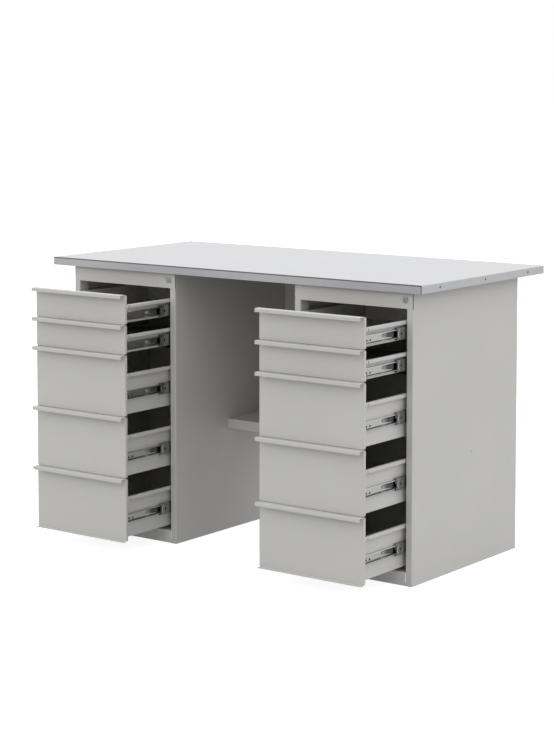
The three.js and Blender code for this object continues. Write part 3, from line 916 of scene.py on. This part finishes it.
class WORKBENCH_OT_worktop(bpy.types.Operator):
    """Clads the board in a folded zinc sheet, with screws in the end skirts."""

    bl_idname = "workbench.worktop"
    bl_label = "Worktop"

    def execute(self, context):
        sizes = context.scene.workbench.worktop
        low, high = corners(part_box("worktop_skin"))
        half = sizes.sheet / 2
        front, back = low.y + half, high.y - half
        top = high.z - half
        inset = half + sizes.bend
        bm = bmesh.new()
        path = [(front, low.z), (front, top), (back, top), (back, low.z)]
        sweep(bm, path, "X", low.x + inset, high.x - inset)
        fold(bm, sizes.bend)
        for end, side in ((low.x + inset, -1), (high.x - inset, 1)):
            rim = end_edges(bm, end, lambda p: p.z > top - NEAR)
            bent = bend_back(bm, rim, (end, 0, top - sizes.bend), (0, side, 0))
            push(bm, bent, Vector((0, 0, low.z - top + sizes.bend)))
        face_outwards(bm)
        skin = make_piece(
            bm, "worktop_cladding", "frame", finish_of("zinc", context), ["worktop_skin"]
        )
        thicken(skin, sizes.sheet)
        self.add_screws(context, sizes, low, high)
        board = frame["nodes"]["worktop_board"]
        board.data.materials.clear()
        board.data.materials.append(finish_of("chip", context))
        return {"FINISHED"}

    def add_screws(self, context, sizes, low, high):
        """Pan-head screws along both end skirts."""
        bm = bmesh.new()
        radius, rise = sizes.screw_head / 2, sizes.screw_rise
        profile = [
            (0.0, rise),
            (radius * 0.55, rise),
            (radius * 0.85, rise * 0.75),
            (radius, 0.0),
            (0.0, -rise * 0.2),
        ]
        middle = (low.z + high.z) / 2
        for x, side in ((low.x, -1), (high.x, 1)):
            for y in (low.y + sizes.screw_inset, (low.y + high.y) / 2, high.y - sizes.screw_inset):
                add_turned(bm, profile, Vector((x, y, middle)), side * ALONG_X, steps=24)
        screws = make_piece(bm, "worktop_screws", "frame", finish_of("plastic", context))
        soften(screws, edge=0.0001)


class WORKBENCH_OT_carcass(bpy.types.Operator):
    """Folds the pedestals' side panels, floor pans, top covers and back panels."""

    bl_idname = "workbench.carcass"
    bl_label = "Pedestals"

    def execute(self, context):
        sizes = context.scene.workbench.carcass
        paint = finish_of("paint", context)
        for side in PEDESTALS:
            place = Pedestal(side, sizes)
            for hand, sign in HANDS:
                bm = self.side_panel(context, side, place, sizes, sign)
                name = f"{side}_folded_panel_{hand}"
                node = f"{side}_side_panel_{hand}"
                panel = make_piece(bm, name, "frame", paint, [node])
                thicken(panel, sizes.sheet)
            for name, node, bm in (
                ("plinth_pan", "floor_pan", self.floor_pan(place, sizes)),
                ("top_rail_cover", "top_cover", self.top_cover(context, side, place, sizes)),
                ("rear_panel", "back_panel", self.back_panel(place, sizes)),
            ):
                node = f"{side}_{node}"
                piece = make_piece(bm, f"{side}_{name}", "frame", paint, [node])
                thicken(piece, sizes.sheet)
            self.caps(context, side, place, sizes)
        return {"FINISHED"}

    def side_panel(self, context, side, place, sizes, sign):
        """One sheet with a post folded at each end, cut back behind the top rail."""
        half = sizes.sheet / 2
        post = place.centre + sign * (place.opening + half)
        skin = place.centre + sign * (place.half - half)
        front, back = place.front + half, place.back - half
        notch = place.rail_bottom - SEAT
        path = [
            (post, place.front + sizes.front_return),
            (post, front),
            (skin, front),
            (skin, front + sizes.bend + SEAT),
            (skin, back),
            (post, back),
            (post, place.back - sizes.rear_return),
        ]
        bm = bmesh.new()
        tops = sweep(bm, path, "Z", 0.0, notch)
        rear = place.back - sizes.rear_return - NEAR
        kept = [e for e in tops if min(v.co.y for v in e.verts) > front + sizes.bend]
        kept = [e for e in kept if abs(e.verts[0].co.x - post) > SEAT or e.verts[0].co.y > rear]
        push(bm, kept, Vector((0, 0, place.panel_top - notch)))
        fold(bm, sizes.bend)
        if sign > 0:
            bar = corners(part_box(f"{side}_lock_bar"))
            for number in DRAWERS:
                drawer = Drawer(side, number, context.scene.workbench.drawers)
                self.tab_slot(bm, place, bar, drawer.hem_bottom)
        face_outwards(bm)
        return bm

    def tab_slot(self, bm, place, bar, level, play=0.0005, below=0.0055, above=0.0065):
        """A slot in the post's inner side for one tab of the lock bar."""
        side = place.centre + place.opening
        inside, outside = side - 2 * play, side + 6 * play
        low = Vector((inside, bar[0].y - play, level - below))
        high = Vector((outside, bar[1].y + play, level + above))
        window(bm, low, high)

    def floor_pan(self, place, sizes):
        """The plinth, the floor and a rear apron, on returns that stand on the ground."""
        half = sizes.sheet / 2
        front, back = place.front + half, place.back - half
        floor = place.plinth - half
        path = [
            (place.front + sizes.foot, half),
            (front, half),
            (front, floor),
            (back, floor),
            (back, half),
            (place.back - sizes.foot, half),
        ]
        bm = bmesh.new()
        reach = place.opening - SEAT
        sweep(bm, path, "X", place.centre - reach, place.centre + reach)
        fold(bm, sizes.bend)
        near = place.front + sizes.front_return + SEAT
        far = place.back - sizes.rear_return - SEAT
        for sign in (-1, 1):
            inner = place.centre + sign * reach
            outer = place.centre + sign * (place.half - sizes.sheet - SEAT)
            sweep(bm, [(inner, floor), (outer, floor)], "Y", near, far)
        face_outwards(bm)
        return bm

    def top_cover(self, context, side, place, sizes):
        """The plate under the worktop, folded down in front as the top rail."""
        half = sizes.sheet / 2
        front = place.front + half
        plate = place.top - half
        seam = place.half - sizes.sheet - sizes.rail_seam
        bm = bmesh.new()
        path = [(front, place.rail_bottom), (front, plate), (place.back, plate)]
        sweep(bm, path, "X", place.centre - seam, place.centre + seam)
        fold(bm, sizes.bend)
        for sign in (-1, 1):
            end = place.centre + sign * seam
            rim = end_edges(bm, end, lambda p: p.z > plate - NEAR)
            push(bm, rim, Vector((sign * (place.half - seam), 0, 0)))
        low, high = corners(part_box(f"{side}_lock_housing"))
        radius = context.scene.workbench.locks.barrel / 2 + SEAT
        middle = (low + high) / 2
        round_hole(bm, Vector((middle.x, front, middle.z)), "Y", radius)
        face_outwards(bm)
        return bm

    def back_panel(self, place, sizes):
        """A shallow pan between the rear posts."""
        half = sizes.sheet / 2
        edge = place.opening - SEAT - half
        near, far = place.back - sizes.back_flange, place.back - half
        path = [
            (place.centre - edge, near),
            (place.centre - edge, far),
            (place.centre + edge, far),
            (place.centre + edge, near),
        ]
        bm = bmesh.new()
        sweep(bm, path, "Z", place.plinth + SEAT, place.panel_top)
        fold(bm, sizes.bend)
        face_outwards(bm)
        return bm

    def caps(self, context, side, place, sizes, rise=0.001, sunk=0.0004):
        """A small cap in each side panel, at the height of the knee shelf's fixings."""
        bm = bmesh.new()
        radius = sizes.plug_head / 2
        profile = [
            (0.0, rise * 1.1),
            (radius * 0.6, rise),
            (radius * 0.92, rise * 0.6),
            (radius, 0.0),
            (radius * 0.6, -sunk),
            (0.0, -sunk),
        ]
        y = place.front + sizes.plug_depth
        for sign in (-1, 1):
            centre = Vector((place.centre + sign * place.half, y, sizes.plug_height))
            add_turned(bm, profile, centre, sign * ALONG_X, steps=24)
        caps = make_piece(bm, f"{side}_panel_caps", "frame", finish_of("nickel", context))
        soften(caps, edge=0.0001)


class WORKBENCH_OT_knee_space(bpy.types.Operator):
    """Folds the knee shelf and the back panel behind it."""

    bl_idname = "workbench.knee_space"
    bl_label = "Knee space"

    def execute(self, context):
        sizes = context.scene.workbench.carcass
        paint = finish_of("paint", context)
        half = sizes.sheet / 2
        low, high = corners(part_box("knee_shelf"))
        bm = bmesh.new()
        path = [
            (low.y + half + sizes.shelf_hem, low.z + half),
            (low.y + half, low.z + half),
            (low.y + half, high.z - half),
            (high.y - half, high.z - half),
            (high.y - half, low.z),
        ]
        sweep(bm, path, "X", low.x, high.x)
        fold(bm, sizes.bend)
        face_outwards(bm)
        shelf = make_piece(bm, "knee_space_shelf", "frame", paint, ["knee_shelf"])
        thicken(shelf, sizes.sheet)
        low, high = corners(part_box("knee_back_panel"))
        bm = bmesh.new()
        path = [
            (low.x + half, high.y),
            (low.x + half, low.y + half),
            (high.x - half, low.y + half),
            (high.x - half, high.y),
        ]
        sweep(bm, path, "Z", low.z, high.z)
        fold(bm, sizes.bend)
        face_outwards(bm)
        back = make_piece(bm, "knee_space_back", "frame", paint, ["knee_back_panel"])
        thicken(back, sizes.sheet)
        return {"FINISHED"}


class WORKBENCH_OT_drawers(bpy.types.Operator):
    """Folds the ten drawer fronts and their trays."""

    bl_idname = "workbench.drawers"
    bl_label = "Drawers"

    def execute(self, context):
        sizes = context.scene.workbench.drawers
        paint = finish_of("paint", context)
        for side in PEDESTALS:
            for number in DRAWERS:
                place = Drawer(side, number, sizes)
                front = make_piece(
                    self.front(place, sizes),
                    f"{place.name}_folded_front",
                    place.name,
                    paint,
                    [f"{place.name}_front"],
                )
                thicken(front, sizes.sheet)
                tray = make_piece(
                    self.tray(side, place, sizes),
                    f"{place.name}_folded_tray",
                    place.name,
                    paint,
                    [f"{place.name}_tray"],
                )
                thicken(tray, sizes.tray_sheet)
        return {"FINISHED"}

    def front(self, place, sizes):
        """The panel, a ledge and lip to pull it by, and returns, a stiffener or a kick flange."""
        half = sizes.sheet / 2
        face = place.panel - half
        under = face - sizes.kick if place.last else face + sizes.under
        path = [
            (under, place.low + half),
            (place.panel, place.low + half),
            (place.panel, place.high - half),
            (place.ledge + half, place.high - half),
            (place.ledge + half, place.high - sizes.lip),
        ]
        bm = bmesh.new()
        inset = sizes.bend + half
        sweep(bm, path, "X", place.left + inset, place.right - inset)
        fold(bm, sizes.bend)
        crest = place.high - half - sizes.bend - NEAR
        for edge, sign in ((place.left, -1), (place.right, 1)):
            end = edge - sign * inset
            ledge = end_edges(bm, end, lambda p: p.z > crest or p.y < face)
            push(bm, ledge, Vector((sign * inset, 0, 0)))
            if not place.last:
                bmesh.ops.bisect_plane(
                    bm,
                    geom=bm.verts[:] + bm.edges[:] + bm.faces[:],
                    dist=FINE,
                    plane_co=Vector((edge, 0, place.low + sizes.corner_height)),
                    plane_no=Vector((sign * sizes.corner_height, 0, -sizes.corner_width)),
                    clear_outer=True,
                )
            rim = end_edges(bm, end, lambda p: abs(p.y - place.panel) < NEAR)
            bent = bend_back(bm, rim, (end, place.panel + sizes.bend, 0), (0, 0, sign))
            push(bm, bent, Vector((0, sizes.under - inset, 0)))
        if not place.first:
            level = place.high - half
            stiffener = [(place.panel + half + SEAT, level), (face + sizes.under, level)]
            sweep(bm, stiffener, "X", place.left + inset, place.right - inset)
        face_outwards(bm)
        return bm

    def tray(self, side, place, sizes, play=0.001, notch_height=0.007):
        """Floor, sides and rolled-out hems of one sheet, with end walls between the sides.

        The right hem's lip has a notch for the lock bar's tab, and is lower from the bar on to the rear.
        """
        half = sizes.tray_sheet / 2
        wall = place.tray_half - half
        hem = place.tray_half + sizes.hem - half
        low, high = place.tray_low + half, place.tray_high - half
        section = [(hem, place.hem_bottom), (hem, high), (wall, high), (wall, low)]
        path = [(place.centre + x, z) for x, z in section]
        path += [(place.centre - x, z) for x, z in reversed(section)]
        bm = bmesh.new()
        sweep(bm, path, "Y", place.tray_front, place.tray_back)
        fold(bm, sizes.tray_bend)
        rim = place.tray_high - sizes.wall_drop
        for y in (place.tray_front + half, place.tray_back - half):
            sweep(bm, [(y, low), (y, rim)], "X", place.centre - wall, place.centre + wall)
        bar = corners(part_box(f"{side}_lock_bar"))
        drawn = -next(j["range_m"][0] for j in frame["joints"] if j["name"] == f"{place.name}_pull")
        near, far = bar[0].y - play, bar[1].y + play
        edge = place.centre + hem
        for start, end in ((near - drawn, far - drawn), (near, place.tray_back + play)):
            lower = Vector((edge - half, start, place.hem_bottom - half))
            upper = Vector((edge + half, end, place.hem_bottom + notch_height))
            window(bm, lower, upper)
        face_outwards(bm)
        return bm


class WORKBENCH_OT_slides(bpy.types.Operator):
    """Draws the slides: cabinet, middle and drawer members, with balls, cages and release levers."""

    bl_idname = "workbench.slides"
    bl_label = "Slides"

    def execute(self, context):
        sizes = context.scene.workbench.slides
        for side in PEDESTALS:
            pedestal = Pedestal(side, context.scene.workbench.carcass)
            drawers = [Drawer(side, n, context.scene.workbench.drawers) for n in DRAWERS]
            self.cabinet_members(context, side, pedestal, drawers, sizes)
            for drawer in drawers:
                self.drawer_members(context, pedestal, drawer, sizes)
                self.middle_members(context, pedestal, drawer, sizes)
        return {"FINISHED"}

    def channel(self, bm, web, edge, z, height, sizes, near, far):
        """One member: a web with a race folded at its top and bottom."""
        flange = (height - sizes.sheet) / 2
        lip = height / 2 - sizes.lip
        path = [
            (edge, z + lip),
            (edge, z + flange),
            (web, z + flange),
            (web, z - flange),
            (edge, z - flange),
            (edge, z - lip),
        ]
        sweep(bm, path, "Y", near, far)

    def cabinet_members(self, context, side, pedestal, drawers, sizes):
        """The members on the pedestal's posts."""
        for hand, sign in HANDS:
            bm = bmesh.new()
            web = pedestal.opening - sizes.sheet / 2
            edge = web - sizes.reach + sizes.sheet
            near = pedestal.front + sizes.setback
            for drawer in drawers:
                x = (pedestal.centre + sign * web, pedestal.centre + sign * edge)
                self.channel(bm, *x, drawer.slide_z, sizes.cabinet, sizes, near, near + sizes.run)
            fold(bm, sizes.bend)
            face_outwards(bm)
            name = f"{side}_cabinet_members_{hand}"
            piece = make_piece(bm, name, "frame", finish_of("bright", context))
            thicken(piece, sizes.sheet)

    def drawer_members(self, context, pedestal, drawer, sizes):
        """The members on the tray's sides, with fixing screws and a release lever each."""
        bm = bmesh.new()
        levers = bmesh.new()
        web = drawer.tray_half + sizes.sheet / 2
        edge = pedestal.opening - 2.5 * sizes.sheet - 1.5 * sizes.gap
        near = drawer.tray_front + sizes.tray_gap
        for sign in (-1, 1):
            x = (drawer.centre + sign * web, drawer.centre + sign * edge)
            self.channel(bm, *x, drawer.slide_z, sizes.drawer, sizes, near, near + sizes.run)
        fold(bm, sizes.bend)
        for sign in (-1, 1):
            outside = sign * (web + sizes.sheet / 2)
            for count in (0, 1):
                y = near + sizes.screw_front + count * sizes.screw_step
                centre = Vector((drawer.centre + outside, y, drawer.slide_z - sizes.screw_drop))
                add_turned(levers, self.screw(sizes.screw / 2), centre, sign * ALONG_X, steps=20)
            self.lever(levers, drawer, sign, outside, near, sizes)
        face_outwards(bm)
        name = f"{drawer.name}_side_members"
        piece = make_piece(bm, name, drawer.name, finish_of("bright", context))
        thicken(piece, sizes.sheet)
        name = f"{drawer.name}_levers_and_screws"
        piece = make_piece(levers, name, drawer.name, finish_of("plastic", context))
        soften(piece, edge=0.0002)

    def screw(self, radius, rise=0.0008, socket=0.0002):
        """Profile of a low screw head with a round socket."""
        return [
            (0.0, socket),
            (radius * 0.4, socket),
            (radius * 0.45, rise),
            (radius * 0.8, rise),
            (radius, 0.0),
            (0.0, -SEAT),
        ]

    def lever(self, bm, drawer, sign, x, near, sizes):
        """A release lever with a blunt front end, and a dark strip along the lower race, painted in as
        shade.
        """
        start = drawer.tray_front + LEVER_PLACE
        base = drawer.centre + x + sign * SEAT / 2
        arm = [
            (-0.010, 0.000),
            (-0.007, -0.003),
            (0.020, -0.0055),
            (sizes.lever, -0.0075),
            (sizes.lever, 0.009),
            (0.020, 0.008),
            (-0.007, 0.0065),
            (-0.010, 0.004),
        ]
        slab(bm, [(start + y, drawer.slide_z + z) for y, z in arm], base, sign * sizes.lever_rise)
        # Painted shade: a dark strip along the lower race, thicker from the lever on, for the shade of the
        # channel's corner and lip.
        race = sizes.sheet - sizes.drawer / 2 + SEAT
        end = near + sizes.run
        thin, thick = race + sizes.shade_strip_front, race + sizes.shade_strip_back
        shade_strip = [(near, race), (end, race), (end, thick), (start + sizes.lever, thick), (near, thin)]
        slab(bm, [(y, drawer.slide_z + z) for y, z in shade_strip], base, sign * sizes.shade_strip_rise)

    def crescent(self, bm, x, front, z, rise):
        """A crescent across the front end of a middle member's web."""
        outer = [(0.009, 0.0135), (0.004, 0.0115), (0.001, 0.006), (0.0, 0.0)]
        inner = [(0.0036, 0.0), (0.0044, 0.0045), (0.0063, 0.0085), (0.009, 0.0105)]
        for up in (1, -1):
            slab(bm, [(front + y, z + up * height) for y, height in outer + inner], x, rise)

    def middle_members(self, context, pedestal, drawer, sizes):
        """The members that run between the other two, with their ball cages."""
        body = f"{drawer.name}_slides"
        bumpers = bmesh.new()
        stops = bmesh.new()
        for hand, sign in HANDS:
            web = pedestal.opening - 1.5 * sizes.sheet - sizes.gap
            edge = drawer.tray_half + 1.5 * sizes.sheet + sizes.gap / 2
            x = (pedestal.centre + sign * web, pedestal.centre + sign * edge)
            bm = bmesh.new()
            z = drawer.slide_z
            self.channel(bm, *x, z, sizes.middle, sizes, drawer.middle_front, drawer.middle_back)
            fold(bm, sizes.bend)
            front = drawer.middle_front
            round_hole(bm, Vector((x[0], front + HOLE_PLACE, z)), "X", sizes.hole / 2)
            face_outwards(bm)
            piece = make_piece(
                bm,
                f"{drawer.name}_middle_member_{hand}",
                body,
                finish_of("shaded", context),
                [f"{drawer.name}_slide_{hand}"],
            )
            thicken(piece, sizes.sheet)
            self.cages(context, drawer, hand, (x[0] + x[1]) / 2, sizes, body)
            face = x[0] + sign * sizes.sheet / 2
            rise = sign * sizes.bumper_rise
            self.crescent(bumpers, face, front, z, rise)
            self.crescent(stops, face, front + STOP_SHIFT, z, rise)
        for name, bm, kind in (("bumpers", bumpers, "plastic"), ("end_stops", stops, "bright")):
            name = f"{drawer.name}_{name}"
            piece = make_piece(bm, name, body, finish_of(kind, context))
            soften(piece, edge=0.00015)

    def cages(self, context, drawer, hand, x, sizes, body):
        """Strips with balls: a pair round the drawer member and a pair inside the cabinet member."""
        flange = sizes.middle / 2
        inner = (sizes.drawer / 2 + flange - sizes.sheet) / 2
        outer = (flange + sizes.cabinet / 2 - sizes.sheet) / 2
        front, back = drawer.middle_front, drawer.middle_back
        runs = (
            (inner, front + sizes.cage_end, front + sizes.inner_end),
            (outer, front + sizes.outer_start, back - sizes.cage_end),
        )
        strips = bmesh.new()
        balls = bmesh.new()
        side = sizes.cage_width / 2
        for level, near, far in runs:
            count = int((far - near - 2 * sizes.ball) / sizes.ball_pitch)
            for up in (-1, 1):
                z = drawer.slide_z + up * level
                sweep(strips, [(x - side, z), (x + side, z)], "Y", near, far)
                for i in range(count + 1):
                    place = Vector((x, near + sizes.ball + i * sizes.ball_pitch, z))
                    bmesh.ops.create_uvsphere(
                        balls,
                        u_segments=8,
                        v_segments=6,
                        radius=sizes.ball / 2,
                        matrix=Matrix.Translation(place),
                    )
        face_outwards(strips)
        name = f"{drawer.name}_ball_cages_{hand}"
        piece = make_piece(strips, name, body, finish_of("bright", context))
        thicken(piece, sizes.cage, edge=0.0001)
        name = f"{drawer.name}_balls_{hand}"
        make_piece(balls, name, body, finish_of("ball", context))


class WORKBENCH_OT_locks(bpy.types.Operator):
    """Turns the lock housings and plugs, and plates the lock bars."""

    bl_idname = "workbench.locks"
    bl_label = "Locks"

    def execute(self, context):
        sizes = context.scene.workbench.locks
        nickel = finish_of("nickel", context)
        for side in PEDESTALS:
            low, high = corners(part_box(f"{side}_lock_housing"))
            middle = (low + high) / 2
            bezel_front, rear = low.y, high.y
            face = bezel_front + sizes.rise
            centre = Vector((middle.x, 0.0, middle.z))
            bm = bmesh.new()
            bore = sizes.plug / 2 + SEAT
            rim = sizes.bezel / 2
            ease, crown = 0.0004, 0.0011
            profile = [
                (bore, bezel_front + ease),
                (bore + ease, bezel_front),
                (rim - crown, bezel_front),
                (rim - ease, bezel_front + ease * 0.75),
                (rim, bezel_front + crown),
                (rim, face - SEAT),
                (sizes.barrel / 2, face - SEAT),
                (sizes.barrel / 2, rear),
                (bore, rear),
                (bore, bezel_front + ease),
            ]
            turned(bm, profile, centre, ALONG_Y)
            self.nut(bm, centre, face, sizes)
            housing = make_piece(
                bm, f"{side}_lock_barrel", "frame", nickel, [f"{side}_lock_housing"]
            )
            soften(housing, edge=0.00015)
            self.plug(context, side, centre, rear, sizes)
            bar = frame["nodes"][f"{side}_lock_bar"]
            bar.data.materials.clear()
            bar.data.materials.append(finish_of("bright", context))
        return {"FINISHED"}

    def nut(self, bm, centre, face, sizes):
        """The hexagon nut behind the rail."""
        ring = bmesh.new()
        turn = Matrix.Rotation(math.radians(-90), 4, "X")
        place = Matrix.Translation(Vector((centre.x, face + sizes.nut_gap, centre.z))) @ turn
        for width in (sizes.nut, sizes.barrel):
            bmesh.ops.create_circle(ring, segments=6, radius=width / 2, matrix=place)
        bmesh.ops.bridge_loops(ring, edges=ring.edges[:])
        push_faces(ring, ring.faces[:], ALONG_Y * sizes.nut_height)
        merge(bm, ring)

    def plug(self, context, side, centre, rear, sizes):
        """The plug with its key slot, and the disc and pin that lift the lock bar."""
        low, high = corners(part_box(f"{side}_lock_plug"))
        bm = bmesh.new()
        turn = Matrix.Rotation(math.radians(90), 4, "X")
        key = Vector((centre.x, low.y, centre.z))
        place = Matrix.Translation(key) @ turn
        bmesh.ops.create_circle(bm, cap_ends=True, segments=48, radius=sizes.plug / 2, matrix=place)
        disc = rear + sizes.disc_gap
        push_faces(bm, bm.faces[:], ALONG_Y * (disc - low.y))
        half = Vector((sizes.keyway_width / 2, SEAT, sizes.keyway_height / 2))
        sink(bm, key - half, key + half, ALONG_Y * sizes.keyway_depth)
        rim = (high.x - low.x) / 2
        back = disc + sizes.disc
        add_turned(bm, [(0.0, disc), (rim, disc), (rim, back), (0.0, back)], centre, ALONG_Y)
        spot = centre - Vector((sizes.pin_offset, 0.0, sizes.pin_offset))
        start, radius = back - SEAT / 2, sizes.pin / 2
        pin = [(0.0, start), (radius, start), (radius, high.y), (0.0, high.y)]
        add_turned(bm, pin, spot, ALONG_Y, steps=24)
        piece = make_piece(
            bm,
            f"{side}_lock_cylinder",
            f"{side}_lock_plug",
            finish_of("nickel", context),
            [f"{side}_lock_plug"],
        )
        soften(piece, edge=0.0001)


class WORKBENCH_OT_stage(bpy.types.Operator):
    """Sets up the pale floor, the studio light and the camera."""

    bl_idname = "workbench.stage"
    bl_label = "Studio"

    def execute(self, context):
        studio = context.scene.workbench.studio
        self.floor(context)
        self.sky(context, studio)
        self.key_light(context, studio)
        self.camera(context, studio)
        context.scene.view_settings.view_transform = "Standard"
        return {"FINISHED"}

    def floor(self, context, reach=60.0, drop=0.0005):
        """A wide pale floor."""
        bm = bmesh.new()
        bmesh.ops.create_grid(bm, x_segments=1, y_segments=1, size=reach)
        mesh = bpy.data.meshes.new("studio_floor")
        bm.to_mesh(mesh)
        bm.free()
        mesh.materials.append(finish_of("floor", context))
        floor = bpy.data.objects.new("studio_floor", mesh)
        context.scene.collection.objects.link(floor)
        floor.location.z = -drop

    def sky(self, context, studio, depth=(-0.6, 0.6), height=(0.0, 0.6)):
        """White light from above and behind, with a dimmer room in front."""
        world = bpy.data.worlds.new("Studio")
        world.use_nodes = True
        context.scene.world = world
        nodes = world.node_tree.nodes
        link = world.node_tree.links.new
        parts = nodes.new("ShaderNodeSeparateXYZ")
        link(nodes.new("ShaderNodeTexCoord").outputs["Generated"], parts.inputs["Vector"])
        around = ramp(nodes, depth, (studio.room, studio.backdrop))
        link(parts.outputs["Y"], around.inputs["Value"])
        above = ramp(nodes, height, (0.0, 1.0))
        link(parts.outputs["Z"], above.inputs["Value"])
        blend = nodes.new("ShaderNodeMix")
        blend.inputs["B"].default_value = studio.sky
        link(above.outputs["Result"], blend.inputs["Factor"])
        link(around.outputs["Result"], blend.inputs["A"])
        link(blend.outputs["Result"], nodes["Background"].inputs["Strength"])
        nodes["Background"].inputs["Color"].default_value = (1.0, 1.0, 1.0, 1.0)

    def key_light(self, context, studio, size=1.6, distance=4.5):
        """A large soft light, low at the left in front."""
        lamp = bpy.data.lights.new("key", "AREA")
        lamp.shape = "DISK"
        lamp.size = size
        lamp.energy = studio.key
        light = bpy.data.objects.new("key", lamp)
        context.scene.collection.objects.link(light)
        target = Vector((0.0, -0.35, 0.45))
        away = Vector((-28.0, -21.0, 12.0)).normalized()
        light.location = target + away * distance
        light.rotation_mode = "QUATERNION"
        light.rotation_quaternion = away.to_track_quat("Z", "Y")

    def camera(self, context, studio):
        """The camera, to the right in front and a little above the worktop."""
        data = bpy.data.cameras.new("camera")
        data.lens = studio.lens
        data.shift_y = studio.shift
        data.clip_end = 200.0
        camera = bpy.data.objects.new("camera", data)
        context.scene.collection.objects.link(camera)
        forward = Vector((-math.sin(studio.yaw), math.cos(studio.yaw), -math.tan(studio.pitch)))
        camera.location = studio.place
        camera.rotation_mode = "QUATERNION"
        camera.rotation_quaternion = forward.to_track_quat("-Z", "Y")
        context.scene.camera = camera


OPERATORS = (
    WORKBENCH_OT_stage,
    WORKBENCH_OT_worktop,
    WORKBENCH_OT_carcass,
    WORKBENCH_OT_knee_space,
    WORKBENCH_OT_drawers,
    WORKBENCH_OT_slides,
    WORKBENCH_OT_locks,
)


class WORKBENCH_PT_panel(bpy.types.Panel):
    """Lists the workbench's sizes, finishes and building steps."""

    bl_idname = "WORKBENCH_PT_panel"
    bl_label = "Workbench"
    bl_space_type = "VIEW_3D"
    bl_region_type = "UI"
    bl_category = "Workbench"

    def draw(self, context):
        layout = self.layout
        settings = context.scene.workbench
        for name in ("worktop", "carcass", "drawers", "slides", "locks", "finishes", "studio"):
            group = getattr(settings, name)
            box = layout.box()
            box.label(text=name.capitalize())
            for key in group.__annotations__:
                box.prop(group, key)
        for operator in OPERATORS:
            layout.operator(operator.bl_idname)


CLASSES = (
    WorktopSizes,
    CarcassSizes,
    DrawerSizes,
    SlideSizes,
    LockSizes,
    Finishes,
    StudioSettings,
    WorkbenchSettings,
    *OPERATORS,
    WORKBENCH_PT_panel,
)


def register():
    """Registers the settings, the operators and the panel."""
    for cls in CLASSES:
        bpy.utils.register_class(cls)
    bpy.types.Scene.workbench = bpy.props.PointerProperty(type=WorkbenchSettings)


def unregister():
    """Removes what register added."""
    del bpy.types.Scene.workbench
    for cls in reversed(CLASSES):
        bpy.utils.unregister_class(cls)


def main():
    """Builds the studio and the bench."""
    register()
    bpy.ops.workbench.stage()
    bpy.ops.workbench.worktop()
    bpy.ops.workbench.carcass()
    bpy.ops.workbench.knee_space()
    bpy.ops.workbench.drawers()
    bpy.ops.workbench.slides()
    bpy.ops.workbench.locks()


if __name__ == "__main__":
    main()
